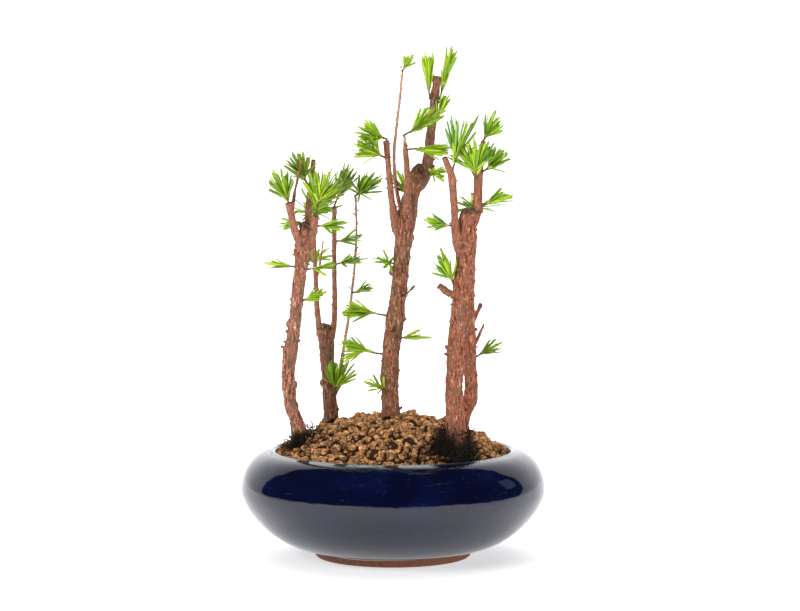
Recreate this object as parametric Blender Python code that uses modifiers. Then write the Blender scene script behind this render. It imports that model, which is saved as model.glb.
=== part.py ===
"""Dawn redwood group in a low round glazed pot, as a bonsai of about 40 cm, in metres, +Z up.

The origin is the middle of the pot's flat underside, and -Y is the side seen from the front.
Sizes below are in millimetres and MM brings them to metres. Wood is a set of tapering limbs,
each bent by a few named shifts from the straight line between its foot and its tip. Every
mass of needles is one stem with side shoots, each shoot ending in a bud with a tuft of needles.
"""

import math
import random
from typing import NamedTuple

import bmesh
import bpy
from mathutils import Matrix, Vector, bvhtree, geometry, noise

MM = 0.001
GAP = 0.3

# The pot: a flattened bowl on a plain foot, with its rim drawn in.
POT_RADIUS = 120.0
POT_HEIGHT = 84.0
BELLY_HEIGHT = 53.0
BELLY_FULLNESS = 1.6
SHOULDER_FULLNESS = 2.0
RIM_RADIUS = 94.0
FOOT_RADIUS = 61.0
FOOT_HEIGHT = 5.5
GLAZE_EDGE = 69.0
GLAZE_HEIGHT = 7.5
POT_WALL = 6.0
POT_FLOOR = 11.0
LIP_RADIUS = 2.7
LIP_TURN = 76
TURNED_STEPS = 32

# The soil: a mound of clay grains that stands above the rim.
MOUND_HEIGHT = 30.5
SOIL_EDGE = 79.5
MOUND_POWER = 2.2
SOIL_RADIUS = 91.5
SOIL_ROUGHNESS = 1.4
SOIL_WAVE = 22.0
LUMP_STEP = 9.4
LUMP_SHIFT = 1.5
LUMP_RISE = 2.2
HOLLOW_FALL = 1.8
SOIL_GAP = 0.6
SOIL_INSET = 0.4

# Wood.
TRUNK_STEPS = 10
BOUGH_STEPS = 8
TRUNK_SIDES_LEVEL = 3
BOUGH_SIDES_LEVEL = 1
FLARE_HEIGHT = 6.0
KNOT_SUNK = 0.45
KNOT_RISE = 10
STUB_TAPER = 0.8
STUB_SIDES = 5

# Needles. A twig is a three-sided rod, and GOLDEN_TURN spreads the needles of a tuft evenly.
STEM_RADIUS = 0.95
SHOOT_RADIUS = 0.75
TWIG_SIDES = 3
LEAST_LEAN_OUT = 0.06
SIDE_TURN = (0.75, 1.15)
SIDE_LIFT = (-0.25, 0.35)
SIDE_LENGTH_SHARE = 0.3
SIDE_LENGTH_MORE = 1.2
LOWEST_SIDE_SHOOT = 0.35
SIDE_SHOOT_STEP = 0.32
BUD_RADIUS = 1.8
BUD_STRETCH = 1.5
ROOT_SUNK = 0.4
NEEDLE_WIDTH = 3.2
NEEDLE_THICKNESS = 1.0
NEEDLE_WIDEST = 0.2
NEEDLE_ROOM = 0.35
SHORTEST_NEEDLE = 0.82
NEEDLES_A_TUFT = 3
FIRST_TUFT_EXTRA = 2
GOLDEN_TURN = 137.5
FIRST_NEEDLE_PLACE = 0.35


class Limb(NamedTuple):
    """A tapering limb. Bends are (share of the way up, shift along X, shift along Y)."""

    name: str
    tree: str
    foot: tuple
    tip: tuple
    radii: tuple
    bends: tuple = ()
    flare: float = 0.0


class Stub(NamedTuple):
    """A short dead stub or peg that is one piece with its limb."""

    limb: str
    height: float
    facing: float
    rise: float
    length: float
    radius: float


class Knot(NamedTuple):
    """A rounded swelling on a limb, where a bough has been cut off and healed."""

    limb: str
    height: float
    facing: float
    radius: float


class Mass(NamedTuple):
    """A mass of needles. It faces this way from its limb, in degrees from +X towards +Y."""

    name: str
    limb: str
    height: float
    facing: float
    rise: float
    stem: float
    shoots: int
    reach: float
    spread: float


LIMBS = (
    Limb("trunk_left", "left", (-72, -16, 89), (-68, -16, 259),
         (6.6, 5.4, 4.9, 4.9, 5.0, 4.9, 4.7, 4.6, 4.6, 6.6, 3.5),
         ((0.1, -3.0, 0), (0.2, -8.9, -1), (0.35, -11.2, -2), (0.5, -8.1, -2), (0.8, -3.3, 0)),
         flare=2.1),
    Limb("bough_left_stub", "left", (-69, -17, 243), (-81, -22, 279), (3.2, 3.0, 2.8, 2.9),
         ((0.3, -2.2, -1),)),
    Limb("bough_left_right", "left", (-66, -17, 243), (-60, -21, 269), (3.2, 2.8, 2.8, 2.7),
         ((0.45, 1.2, -1),)),
    Limb("bough_left_tall", "left", (-67.5, -14, 247), (-62, -6, 312), (3.0, 2.6, 2.5, 2.2, 1.8, 1.8),
         ((0.25, 0, 4.5), (0.5, -0.8, 4))),
    Limb("trunk_slim", "slim", (-50, 27, 96), (-54, 27, 177), (6.0, 5.4, 5.2, 5.1, 5.2, 6.2, 3.4),
         ((0.3, 0.7, 0),), flare=1.8),
    Limb("bough_slim_left", "slim", (-55, 27, 158), (-63.4, 30, 259), (2.9, 2.3, 2.1, 1.9, 1.8, 1.4),
         ((0.2, -2.6, 1.4), (0.45, -2.4, 2))),
    Limb("bough_slim_right", "slim", (-53, 27, 156), (-46.6, 22, 274), (2.9, 2.3, 2.0, 1.9, 1.7, 1.9),
         ((0.15, 3.8, -1), (0.3, 4.7, -1.6), (0.6, 2.4, -1.6))),
    Limb("whip_slim", "slim", (-50, 29, 117), (-29.8, 27, 282), (1.9, 1.4, 1.1, 1.0, 1.0, 1.0),
         ((0.08, 3.8, 2.0), (0.25, 5.0, 2.0), (0.5, 6.4, 0), (0.8, 4.6, 0))),
    Limb("trunk_centre", "centre", (-1.2, -6, 103), (19, 0, 302),
         (7.2, 6.7, 6.9, 6.6, 6.6, 6.2, 6.4, 6.4, 7.9, 6.0, 5.6),
         ((0.15, -4.2, -1), (0.28, -6.1, -2), (0.57, -5.1, -1), (0.8, -5.1, -2), (0.93, -2.1, 0)),
         flare=2.0),
    Limb("leader", "centre", (17, 0, 287), (34.9, 5, 377), (4.0, 4.2, 3.8, 3.5, 3.2, 3.1),
         ((0.12, 5.6, 0.5), (0.25, 5.6, 0), (0.5, 3.8, 0), (0.75, 1.6, 0))),
    Limb("bough_centre_left", "centre", (6.5, -5, 249), (-5.4, -10, 327), (3.6, 3.2, 2.4, 2.3, 2.1, 2.5),
         ((0.17, -2.6, -2.6), (0.4, -2.7, -2.8), (0.7, -1.4, -1.2))),
    Limb("bough_centre_front", "centre", (11.5, -5, 266), (9, -15, 330), (3.6, 3.0, 2.4, 2.3, 2.2, 0.8),
         ((0.2, 0, -5.5), (0.5, 0.9, -4))),
    Limb("whip_centre", "centre", (9, 1, 259), (7.5, 6, 381), (2.0, 1.6, 1.3, 1.1, 0.9, 0.9),
         ((0.12, -3.0, 6.5), (0.25, -6.0, 5), (0.46, -7.6, 2.5), (0.7, -4.3, 1))),
    Limb("trunk_front", "front", (48.3, -64, 84), (56.3, -64, 273),
         (9.1, 7.3, 6.9, 6.7, 6.5, 6.3, 6.3, 6.5, 7.1, 7.2, 4.6),
         ((0.12, -1.5, 0), (0.3, -3.5, 0), (0.6, -2.7, 0), (0.8, 0.3, 0), (0.9, 0.5, 0)),
         flare=2.6),
    Limb("bough_front_left", "front", (53, -65, 237), (38.7, -70, 315), (3.5, 3.2, 2.7, 2.8, 2.8, 2.1),
         ((0.17, -2.2, -3), (0.4, -0.4, -3), (0.8, 3.0, -1))),
    Limb("bough_front_right", "front", (56.5, -63.5, 257), (69, -60, 327), (3.5, 3.4, 3.4, 3.3, 3.0, 1.8),
         ((0.2, 4.6, 1.2), (0.4, 3.2, 2), (0.7, -0.2, 1))),
    Limb("trunk_back", "front", (49.5, -8, 97), (58.5, -57, 243), (6.1, 5.4, 5.0, 4.8, 4.6, 4.6, 4.4),
         ((0.1, 4.4, -2.6), (0.22, 9.0, -5.5), (0.45, 5.6, -5.0), (0.75, 1.4, -3.0)),
         flare=1.8),
)

STUBS = (
    Stub("bough_left_stub", 268, 40, 83, 45, 1.3),
    Stub("trunk_slim", 122, 345, 50, 9, 1.5),
    Stub("bough_slim_left", 212, 300, 66, 34, 0.9),
    Stub("trunk_centre", 194, 355, 62, 19, 1.0),
    Stub("trunk_centre", 158, 300, 40, 13, 0.9),
    Stub("trunk_front", 206, 190, 35, 11, 3.1),
    Stub("bough_front_right", 296, 186, 66, 30, 1.4),
    Stub("trunk_back", 182, 350, 60, 15, 1.9),
    Stub("trunk_back", 164, 340, 52, 19, 1.1),
)

KNOTS = (
    Knot("trunk_left", 246, 270, 6.4),
    Knot("trunk_left", 184, 190, 3.0),
    Knot("trunk_left", 163, 185, 3.2),
    Knot("trunk_left", 136, 350, 3.0),
    Knot("trunk_slim", 133, 190, 3.4),
    Knot("trunk_slim", 112, 340, 2.4),
    Knot("trunk_centre", 258, 190, 5.6),
    Knot("trunk_centre", 250, 345, 3.2),
    Knot("trunk_centre", 224, 185, 4.2),
    Knot("trunk_centre", 188, 350, 3.6),
    Knot("trunk_centre", 174, 265, 2.6),
    Knot("trunk_front", 246, 250, 6.0),
    Knot("trunk_front", 229, 350, 3.4),
    Knot("trunk_front", 188, 262, 2.6),
    Knot("bough_front_right", 274, 345, 2.4),
)

MASSES = (
    Mass("needles_left_outer", "bough_left_stub", 279, 184, 68, 4, 3, 27, 38),
    Mass("needles_left_crown", "bough_left_tall", 293, 196, 62, 5, 4, 27, 38),
    Mass("needles_left_inner", "bough_left_right", 269, 335, 76, 13, 3, 30, 40),
    Mass("needles_left_low", "bough_left_right", 261, 345, 4, 4, 3, 23, 34),
    Mass("needles_left_under", "bough_left_tall", 262, 196, 8, 4, 2, 21, 34),
    Mass("needles_left_side", "trunk_left", 229, 188, 6, 4, 2, 22, 26),
    Mass("needles_left_shelf", "trunk_left", 227, 345, 10, 6, 2, 22, 26),
    Mass("needles_left_lower", "trunk_left", 203, 350, 22, 4, 2, 18, 28),
    Mass("needles_left_back", "bough_left_tall", 268, 80, 30, 8, 3, 20, 52),
    Mass("needles_slim_head", "bough_slim_left", 259, 60, 70, 12, 3, 31, 36),
    Mass("needles_slim_top", "bough_slim_right", 274, 338, 66, 11, 3, 31, 30),
    Mass("needles_whip_top", "whip_slim", 282, 350, 34, 4, 3, 26, 56),
    Mass("needles_whip_upper", "bough_slim_right", 247, 345, 10, 5, 2, 22, 26),
    Mass("needles_slim_side", "bough_slim_right", 229, 335, 12, 5, 3, 23, 28),
    Mass("needles_whip_mid", "whip_slim", 206, 345, 14, 3, 2, 18, 30),
    Mass("needles_slim_foot", "trunk_slim", 125, 306, 66, 8, 3, 27, 28),
    Mass("needles_slim_back", "bough_slim_left", 228, 105, 28, 8, 3, 19, 50),
    Mass("needles_centre_shelf", "trunk_centre", 190, 192, 12, 16, 3, 25, 24),
    Mass("needles_centre_low_left", "trunk_centre", 160, 184, 10, 15, 3, 25, 26),
    Mass("needles_centre_foot", "trunk_centre", 133, 228, 14, 4, 2, 17, 80),
    Mass("needles_centre_low_right", "trunk_centre", 173, 350, -4, 3, 2, 23, 28),
    Mass("needles_centre_mid", "trunk_centre", 231, 200, 10, 5, 3, 15, 58),
    Mass("needles_centre_left_tip", "bough_centre_left", 327, 190, 22, 4, 3, 25, 34),
    Mass("needles_centre_left_side", "bough_centre_left", 314, 204, 26, 6, 3, 25, 32),
    Mass("needles_centre_front_tip", "bough_centre_front", 330, 345, 28, 10, 3, 32, 24),
    Mass("needles_centre_front_side", "bough_centre_front", 320, 345, 4, 9, 3, 33, 20),
    Mass("needles_leader_low", "leader", 301, 325, 4, 4, 3, 14, 50),
    Mass("needles_leader_side", "leader", 343, 335, 74, 3, 2, 21, 20),
    Mass("needles_leader_left", "leader", 360, 200, 82, 7, 2, 34, 15),
    Mass("needles_leader_top", "leader", 360, 20, 78, 12, 2, 34, 14),
    Mass("needles_whip_centre", "whip_centre", 381, 345, 52, 4, 2, 13, 58),
    Mass("needles_centre_back", "trunk_centre", 284, 110, 36, 10, 3, 20, 48),
    Mass("needles_front_left", "bough_front_left", 306, 335, 76, 10, 3, 37, 22),
    Mass("needles_front_inner", "bough_front_right", 299, 250, 72, 6, 3, 31, 25),
    Mass("needles_front_right", "bough_front_right", 327, 345, 64, 3, 2, 24, 30),
    Mass("needles_front_right_side", "bough_front_right", 304, 345, 34, 5, 3, 24, 34),
    Mass("needles_front_right_low", "bough_front_right", 278, 340, 22, 5, 3, 23, 32),
    Mass("needles_front_left_side", "bough_front_left", 263, 196, 10, 4, 3, 20, 38),
    Mass("needles_front_left_mid", "trunk_front", 219, 196, 68, 5, 2, 25, 32),
    Mass("needles_back_right", "trunk_back", 160, 12, 32, 5, 3, 22, 34),
    Mass("needles_front_back", "bough_front_right", 272, 95, 32, 9, 3, 20, 50),
)


def new_material(name, colour, roughness, metallic=0.0):
    material = bpy.data.materials.new(name)
    material.use_nodes = True
    shader = material.node_tree.nodes["Principled BSDF"]
    shader.inputs["Base Color"].default_value = (*colour, 1.0)
    shader.inputs["Roughness"].default_value = roughness
    shader.inputs["Metallic"].default_value = metallic
    return material


def new_collection(name, hidden=False):
    collection = bpy.data.collections.new(name)
    collection.hide_render = hidden
    bpy.context.scene.collection.children.link(collection)
    return collection


def new_object(name, mesh, collection, material=None):
    made = bpy.data.objects.new(name, mesh)
    collection.objects.link(made)
    if material:
        made.data.materials.clear()
        made.data.materials.append(material)
    return made


def evaluated_mesh(obj):
    graph = bpy.context.evaluated_depsgraph_get()
    return bpy.data.meshes.new_from_object(obj.evaluated_get(graph))


def remove_all(objects):
    for obj in list(objects):
        bpy.data.objects.remove(obj, do_unlink=True)


def islands(bm):
    """The separate pieces of a mesh, as sets of faces."""
    left = set(bm.faces)
    found = []
    while left:
        piece = {left.pop()}
        edge_of_piece = list(piece)
        while edge_of_piece:
            face = edge_of_piece.pop()
            for edge in face.edges:
                for other in edge.link_faces:
                    if other in left:
                        left.remove(other)
                        piece.add(other)
                        edge_of_piece.append(other)
        found.append(piece)
    return found


def keep_largest(mesh):
    """Fills sealed hollows and drops loose scraps, so that one closed body is left."""
    bm = bmesh.new()
    bm.from_mesh(mesh)
    bmesh.ops.triangulate(bm, faces=bm.faces)
    pieces = islands(bm)
    largest = max(pieces, key=lambda piece: sum(face.calc_area() for face in piece))
    scraps = [face for piece in pieces if piece is not largest for face in piece]
    bmesh.ops.delete(bm, geom=scraps, context="FACES")
    bm.to_mesh(mesh)
    bm.free()


def apply_boolean(obj, operation, tools):
    """Joins or cuts obj with a collection of meshes, applies it and removes the meshes."""
    modifier = obj.modifiers.new("fuse", "BOOLEAN")
    modifier.operation = operation
    modifier.operand_type = "COLLECTION"
    modifier.collection = tools
    modifier.solver = "EXACT"
    bpy.context.view_layer.update()
    fused = evaluated_mesh(obj)
    obj.modifiers.remove(modifier)
    obj.data = fused
    remove_all(tools.objects)
    keep_largest(obj.data)


def ease(shares, shifts, share):
    """The shift at a share of the way, on a smooth curve through the given shifts."""
    last = len(shares) - 1
    at = max(0, min(last - 1, sum(1 for value in shares if value <= share) - 1))

    def slope(i):
        before, after = max(0, i - 1), min(last, i + 1)
        return (shifts[after] - shifts[before]) / (shares[after] - shares[before])

    width = shares[at + 1] - shares[at]
    t = (share - shares[at]) / width
    start, end = shifts[at], shifts[at + 1]
    return (
        start * (1 + 2 * t) * (1 - t) ** 2
        + slope(at) * width * t * (1 - t) ** 2
        + end * t * t * (3 - 2 * t)
        - slope(at + 1) * width * t * t * (1 - t)
    )


def limb_point(limb, share):
    """The middle of the limb at a share of the way from its foot to its tip."""
    straight = Vector(limb.foot).lerp(Vector(limb.tip), share)
    if not limb.bends:
        return straight
    shares = [0.0, *(bend[0] for bend in limb.bends), 1.0]
    shift_x = ease(shares, [0.0, *(bend[1] for bend in limb.bends), 0.0], share)
    shift_y = ease(shares, [0.0, *(bend[2] for bend in limb.bends), 0.0], share)
    return straight + Vector((shift_x, shift_y, 0))


def limb_radius(limb, share):
    """The radius there, with the root flare of a trunk near its foot."""
    place = share * (len(limb.radii) - 1)
    low = min(int(place), len(limb.radii) - 2)
    plain = limb.radii[low] + (limb.radii[low + 1] - limb.radii[low]) * (place - low)
    above = share * (limb.tip[2] - limb.foot[2])
    return plain + limb.flare * math.exp(-above / FLARE_HEIGHT)


def share_at(limb, height):
    return (height - limb.foot[2]) / (limb.tip[2] - limb.foot[2])


def heading(facing, rise):
    facing, rise = math.radians(facing), math.radians(rise)
    return Vector(
        (math.cos(facing) * math.cos(rise), math.sin(facing) * math.cos(rise), math.sin(rise))
    )


def tube_mesh(points, radii, sides_level):
    """A tube with flat closed ends through points in millimetres."""
    curve = bpy.data.curves.new("tube", "CURVE")
    curve.dimensions = "3D"
    curve.bevel_depth = MM
    curve.bevel_resolution = sides_level
    curve.use_fill_caps = True
    spline = curve.splines.new("POLY")
    spline.points.add(len(points) - 1)
    for station, point, radius in zip(spline.points, points, radii):
        station.co = (*(point * MM), 1.0)
        station.radius = radius
    made = bpy.data.objects.new("tube", curve)
    bpy.context.scene.collection.objects.link(made)
    bpy.context.view_layer.update()
    mesh = evaluated_mesh(made)
    bpy.data.objects.remove(made)
    bm = bmesh.new()
    bm.from_mesh(mesh)
    bmesh.ops.remove_doubles(bm, verts=bm.verts, dist=0.01 * MM)
    bmesh.ops.recalc_face_normals(bm, faces=bm.faces)
    bm.to_mesh(mesh)
    bm.free()
    return mesh


def primitive(make, matrix, **sizes):
    """A mesh from one of bmesh's primitives, placed by a matrix."""
    mesh = bpy.data.meshes.new("piece")
    bm = bmesh.new()
    make(bm, matrix=matrix, **sizes)
    bm.to_mesh(mesh)
    bm.free()
    return mesh


def aimed(start, direction):
    """A matrix that puts +Z along a direction, at a place in millimetres."""
    turn = direction.to_track_quat("Z", "Y").to_matrix().to_4x4()
    return Matrix.Translation(start * MM) @ turn


def rod(start, direction, length, radius_low, radius_high, sides):
    middle = start + direction * (length / 2)
    return primitive(
        bmesh.ops.create_cone, aimed(middle, direction), cap_ends=True, segments=sides,
        radius1=radius_low * MM, radius2=radius_high * MM, depth=length * MM,
    )


def ball(centre, radius):
    return primitive(
        bmesh.ops.create_icosphere, Matrix.Translation(centre * MM), subdivisions=1,
        radius=radius * MM,
    )


def bud(centre, direction):
    """A small eight-sided bud that the needles of a tuft stand out of."""
    stretch = Matrix.Diagonal((1.0, 1.0, BUD_STRETCH, 1.0))
    return primitive(
        bmesh.ops.create_uvsphere, aimed(centre, direction) @ stretch, u_segments=4,
        v_segments=2, radius=BUD_RADIUS * MM,
    )


def limb_object(limb, material, collection, more=0.0):
    """A limb with its knots and stubs in one piece, made larger all round by more."""
    steps = TRUNK_STEPS if limb.flare else BOUGH_STEPS
    shares = [i / (steps - 1) for i in range(steps)]
    points = [limb_point(limb, share) for share in shares]
    radii = [limb_radius(limb, share) + more for share in shares]
    if limb.flare:
        flat = FLARE_HEIGHT / 2
        share = share_at(limb, limb.foot[2] + flat)
        points.insert(1, points[0] + Vector((0, 0, flat)))
        radii.insert(1, limb_radius(limb, share) + more)
    points[0] = points[0] - (points[1] - points[0]).normalized() * more
    points[-1] = points[-1] + (points[-1] - points[-2]).normalized() * more
    level = TRUNK_SIDES_LEVEL if limb.flare else BOUGH_SIDES_LEVEL
    made = new_object(limb.name, tube_mesh(points, radii, level), collection, material)

    extras = new_collection("extras", hidden=True)
    for knot in KNOTS:
        if knot.limb == limb.name:
            share = share_at(limb, knot.height)
            out = heading(knot.facing, KNOT_RISE)
            depth = limb_radius(limb, share) - KNOT_SUNK * knot.radius
            centre = limb_point(limb, share) + out * depth
            new_object("knot", ball(centre, knot.radius + more), extras)
    for stub in STUBS:
        if stub.limb == limb.name:
            share = share_at(limb, stub.height)
            start = limb_point(limb, share)
            length = stub.length + limb_radius(limb, share) + more
            low, high = stub.radius + more, STUB_TAPER * stub.radius + more
            way = heading(stub.facing, stub.rise)
            new_object("stub", rod(start, way, length, low, high, STUB_SIDES), extras)
    if extras.objects:
        apply_boolean(made, "UNION", extras)
    bpy.data.collections.remove(extras)
    return made


def box_of(obj):
    """The lowest and highest corners of an unrotated object."""
    corners = [obj.matrix_world @ vertex.co for vertex in obj.data.vertices]
    return (
        Vector([min(c[i] for c in corners) for i in range(3)]),
        Vector([max(c[i] for c in corners) for i in range(3)]),
    )


def boxes_meet(first, second):
    (low_a, high_a), (low_b, high_b) = box_of(first), box_of(second)
    return all(low_a[i] <= high_b[i] and low_b[i] <= high_a[i] for i in range(3))


def cut_clear(obj, limbs, workshop, gap=GAP):
    """Cuts obj back so that a gap is left to each of these limbs."""
    tools = new_collection("tools", hidden=True)
    for limb in limbs:
        tool = limb_object(limb, None, workshop, more=gap)
        workshop.objects.unlink(tool)
        if boxes_meet(obj, tool):
            tools.objects.link(tool)
        else:
            bpy.data.objects.remove(tool)
    if tools.objects:
        apply_boolean(obj, "DIFFERENCE", tools)
    bpy.data.collections.remove(tools)


def arc(centre, width, height, start, end, steps, fullness=2.0):
    """Points on an arc in the (radius, height) plane, by angles in degrees.

    A fullness of 2 gives an ellipse, and less gives a flatter, leaner curve.
    """
    found = []
    for i in range(steps + 1):
        angle = math.radians(start + (end - start) * i / steps)
        across, up = math.cos(angle), math.sin(angle)
        found.append((
            centre[0] + width * math.copysign(abs(across) ** (2 / fullness), across),
            centre[1] + height * math.copysign(abs(up) ** (2 / fullness), up),
        ))
    return found


def pot_outside():
    """From beside the lip down to the edge of the underside."""
    upper = arc((RIM_RADIUS, BELLY_HEIGHT), POT_RADIUS - RIM_RADIUS, POT_HEIGHT - BELLY_HEIGHT,
                LIP_TURN, 0, 5, SHOULDER_FULLNESS)
    lower = arc((GLAZE_EDGE, BELLY_HEIGHT), POT_RADIUS - GLAZE_EDGE, BELLY_HEIGHT - GLAZE_HEIGHT,
                0, -90, 6, BELLY_FULLNESS)
    return upper + lower[1:] + [(FOOT_RADIUS + 1, FOOT_HEIGHT), (FOOT_RADIUS, 0)]


def pot_inside(inset=0.0):
    """From the floor up to the lip. An inset brings it inwards, for the soil."""
    low = POT_FLOOR + inset
    widest = POT_RADIUS - POT_WALL - inset
    high = POT_HEIGHT - POT_WALL - inset
    lower = arc((GLAZE_EDGE - 3, BELLY_HEIGHT), widest - GLAZE_EDGE + 3, BELLY_HEIGHT - low,
                -90, 0, 4, BELLY_FULLNESS)
    upper = arc((RIM_RADIUS - 2, BELLY_HEIGHT), widest - RIM_RADIUS + 2, high - BELLY_HEIGHT,
                0, LIP_TURN, 2, SHOULDER_FULLNESS)
    return lower + upper[1:]


def turned(name, profile, steps, collection, material):
    """A solid turned from a profile of (radius, height) points, both ends on the axis."""
    mesh = bpy.data.meshes.new(name)
    bm = bmesh.new()
    corners = [bm.verts.new((radius * MM, 0, height * MM)) for radius, height in profile]
    for first, second in zip(corners, corners[1:]):
        bm.edges.new((first, second))
    bm.to_mesh(mesh)
    bm.free()
    made = new_object(name, mesh, collection, material)
    screw = made.modifiers.new("turn", "SCREW")
    screw.axis = "Z"
    screw.steps = steps
    screw.render_steps = steps
    screw.use_merge_vertices = True
    screw.merge_threshold = 0.0001
    return made


def build_pot(collection, material):
    lip = arc((RIM_RADIUS + 1, POT_HEIGHT - LIP_RADIUS), LIP_RADIUS, LIP_RADIUS, 180, 60, 3)
    profile = [(0, POT_FLOOR)] + pot_inside() + lip + pot_outside() + [(0, 0)]
    pot = turned("pot", profile, TURNED_STEPS, collection, material)
    pot.data.shade_smooth()
    return pot


def soil_height(x, y):
    """The mound's height in millimetres over a point in millimetres."""
    edge = RIM_RADIUS - 2
    share = min(1.0, math.hypot(x, y) / edge)
    plain = SOIL_EDGE + MOUND_HEIGHT * (1 - share**MOUND_POWER)
    rough = noise.noise(Vector((x, y, 0)) / SOIL_WAVE) * SOIL_ROUGHNESS * 2 * (1 - share**4)
    return plain + rough


def soil_points():
    """Points on the top of the soil, where every third of a six-sided lattice is a lump."""
    rng = random.Random("soil")
    row_step = LUMP_STEP * math.sqrt(3) / 2
    rows = int(SOIL_RADIUS / row_step)
    columns = int(SOIL_RADIUS / LUMP_STEP) + rows
    found = []
    for row in range(-rows, rows + 1):
        for column in range(-columns, columns + 1):
            x = (column + row / 2) * LUMP_STEP + rng.uniform(-LUMP_SHIFT, LUMP_SHIFT)
            y = row * row_step + rng.uniform(-LUMP_SHIFT, LUMP_SHIFT)
            if math.hypot(x, y) < SOIL_RADIUS - LUMP_STEP / 2:
                rise = LUMP_RISE if (column - row) % 3 == 0 else -HOLLOW_FALL
                found.append(Vector((x, y, soil_height(x, y) + rise)))
    return found


def build_soil(collection, material, limbs, workshop):
    """The lumpy mound and the fill below it, with a pocket round each trunk's foot."""
    floor = [(0, POT_FLOOR + SOIL_INSET)]
    profile = [(SOIL_RADIUS, SOIL_EDGE)] + pot_inside(SOIL_INSET)[::-1] + floor
    soil = turned("soil", profile, TURNED_STEPS, collection, material)
    bm = bmesh.new()
    bm.from_mesh(evaluated_mesh(soil))
    corners = sorted(
        {corner for edge in bm.edges if edge.is_boundary for corner in edge.verts},
        key=lambda corner: corner.index,
    )
    corners += [bm.verts.new(point * MM) for point in soil_points()]
    flat = [corner.co.xy / MM for corner in corners]
    _, _, faces, sources, _, _ = geometry.delaunay_2d_cdt(flat, [], [], 0, 0.001)
    for face in faces:
        bm.faces.new([corners[sources[i][0]] for i in face])
    bmesh.ops.recalc_face_normals(bm, faces=bm.faces)
    soil.modifiers.clear()
    bm.to_mesh(soil.data)
    bm.free()
    cut_clear(soil, [limb for limb in limbs if limb.flare], workshop, SOIL_GAP)
    return soil


class Space:
    """What is already built or kept free, so that twigs and needles keep out of it."""

    def __init__(self):
        self.taken = []

    def add(self, owner, mesh):
        """Takes the room of a mesh in metres for its owner."""
        bm = bmesh.new()
        bm.from_mesh(mesh)
        bm.transform(Matrix.Scale(1 / MM, 4))
        corners = [vertex.co for vertex in bm.verts]
        low = Vector([min(corner[i] for corner in corners) - 1 for i in range(3)])
        high = Vector([max(corner[i] for corner in corners) + 1 for i in range(3)])
        tree = bvhtree.BVHTree.FromBMesh(bm)
        bm.free()
        self.taken.append((owner, low, high, tree))
        return tree

    def free(self, owner, mesh, room):
        """Whether a piece in metres stays this far from everything that others take."""
        bm = bmesh.new()
        bm.from_mesh(mesh)
        bm.transform(Matrix.Scale(1 / MM, 4))
        bmesh.ops.subdivide_edges(bm, edges=bm.edges, cuts=3)
        piece = bvhtree.BVHTree.FromBMesh(bm)
        points = [vertex.co.copy() for vertex in bm.verts]
        bm.free()
        low = Vector([min(point[i] for point in points) for i in range(3)])
        high = Vector([max(point[i] for point in points) for i in range(3)])
        for other, other_low, other_high, tree in self.taken:
            if other == owner:
                continue
            if any(low[i] > other_high[i] or high[i] < other_low[i] for i in range(3)):
                continue
            if piece.overlap(tree):
                return False
            if any(tree.find_nearest(point, room)[0] is not None for point in points):
                return False
        return True


def surface_point(limb_tree, limb, height, direction):
    """Where a stem leaves its limb, with the surface's direction there."""
    share = share_at(limb, height)
    middle = limb_point(limb, min(1.0, share))
    if share > 0.995:
        direction = (limb_point(limb, 1.0) - limb_point(limb, 0.97)).normalized()
        middle = middle - direction
    else:
        direction = Vector((direction.x, direction.y, 0)).normalized()
    hit = limb_tree.ray_cast(middle + direction * 40, -direction, 60)
    normal = hit[1] if hit[1].dot(direction) > 0 else -hit[1]
    return hit[0], normal


def needle(start, direction, roll, length):
    """A flat needle with a keel, of six faces, its root at start."""
    mesh = primitive(bmesh.ops.create_uvsphere, Matrix(), u_segments=3, v_segments=2, radius=1.0)
    for vertex in mesh.vertices:
        if abs(vertex.co.z) < 0.5:
            vertex.co.z = NEEDLE_WIDEST
    size = Matrix.Diagonal((NEEDLE_WIDTH / 2, NEEDLE_THICKNESS / 2, length / 2, 1 / MM)) * MM
    middle = start + direction * (length / 2)
    mesh.transform(aimed(middle, direction) @ Matrix.Rotation(roll, 4, "Z") @ size)
    return mesh


def tuft_directions(axis, count, spread, rng):
    """Needle directions that fill a cone about an axis evenly, by the golden angle."""
    side = axis.orthogonal().normalized()
    across = axis.cross(side)
    start = rng.uniform(0, math.tau)
    found = []
    for i in range(count):
        lean = math.radians(spread) * math.sqrt((i + FIRST_NEEDLE_PLACE) / count)
        turn = start + i * math.radians(GOLDEN_TURN)
        found.append(
            axis * math.cos(lean)
            + (side * math.cos(turn) + across * math.sin(turn)) * math.sin(lean)
        )
    return found


def stem_of(mass, limb, limb_tree):
    """Where a mass's stem starts, its direction, and the direction of its twigs' plane."""
    main = heading(mass.facing, mass.rise)
    surface, out = surface_point(limb_tree, limb, mass.height, main)
    if main.dot(out) < LEAST_LEAN_OUT:
        main = (main + out / 2).normalized()
    tilt = math.sqrt(max(0.0, 1 - main.dot(out) ** 2))
    side = main.cross(Vector((0, 0, 1)))
    side = side.normalized() if side.length > 0.3 else main.orthogonal().normalized()
    return surface + out * (GAP + STEM_RADIUS * tilt), main, main.cross(side)


def shoots_of(mass, start, main, turning_axis, rng):
    """The stem, then its side shoots, left and right in turn: (root, direction, length)."""
    shoots = [(start, main, mass.stem)]
    for i in range(1, mass.shoots):
        turn = (1 if i % 2 else -1) * math.radians(mass.spread * rng.uniform(*SIDE_TURN))
        direction = (Matrix.Rotation(turn, 3, turning_axis) @ main).normalized()
        direction = (direction + Vector((0, 0, rng.uniform(*SIDE_LIFT)))).normalized()
        leaves_at = max(LOWEST_SIDE_SHOOT, 1 - SIDE_SHOOT_STEP * ((i + 1) // 2))
        length = mass.stem * SIDE_LENGTH_SHARE + SIDE_LENGTH_MORE
        shoots.append((start + main * mass.stem * leaves_at, direction, length))
    return shoots


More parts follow.
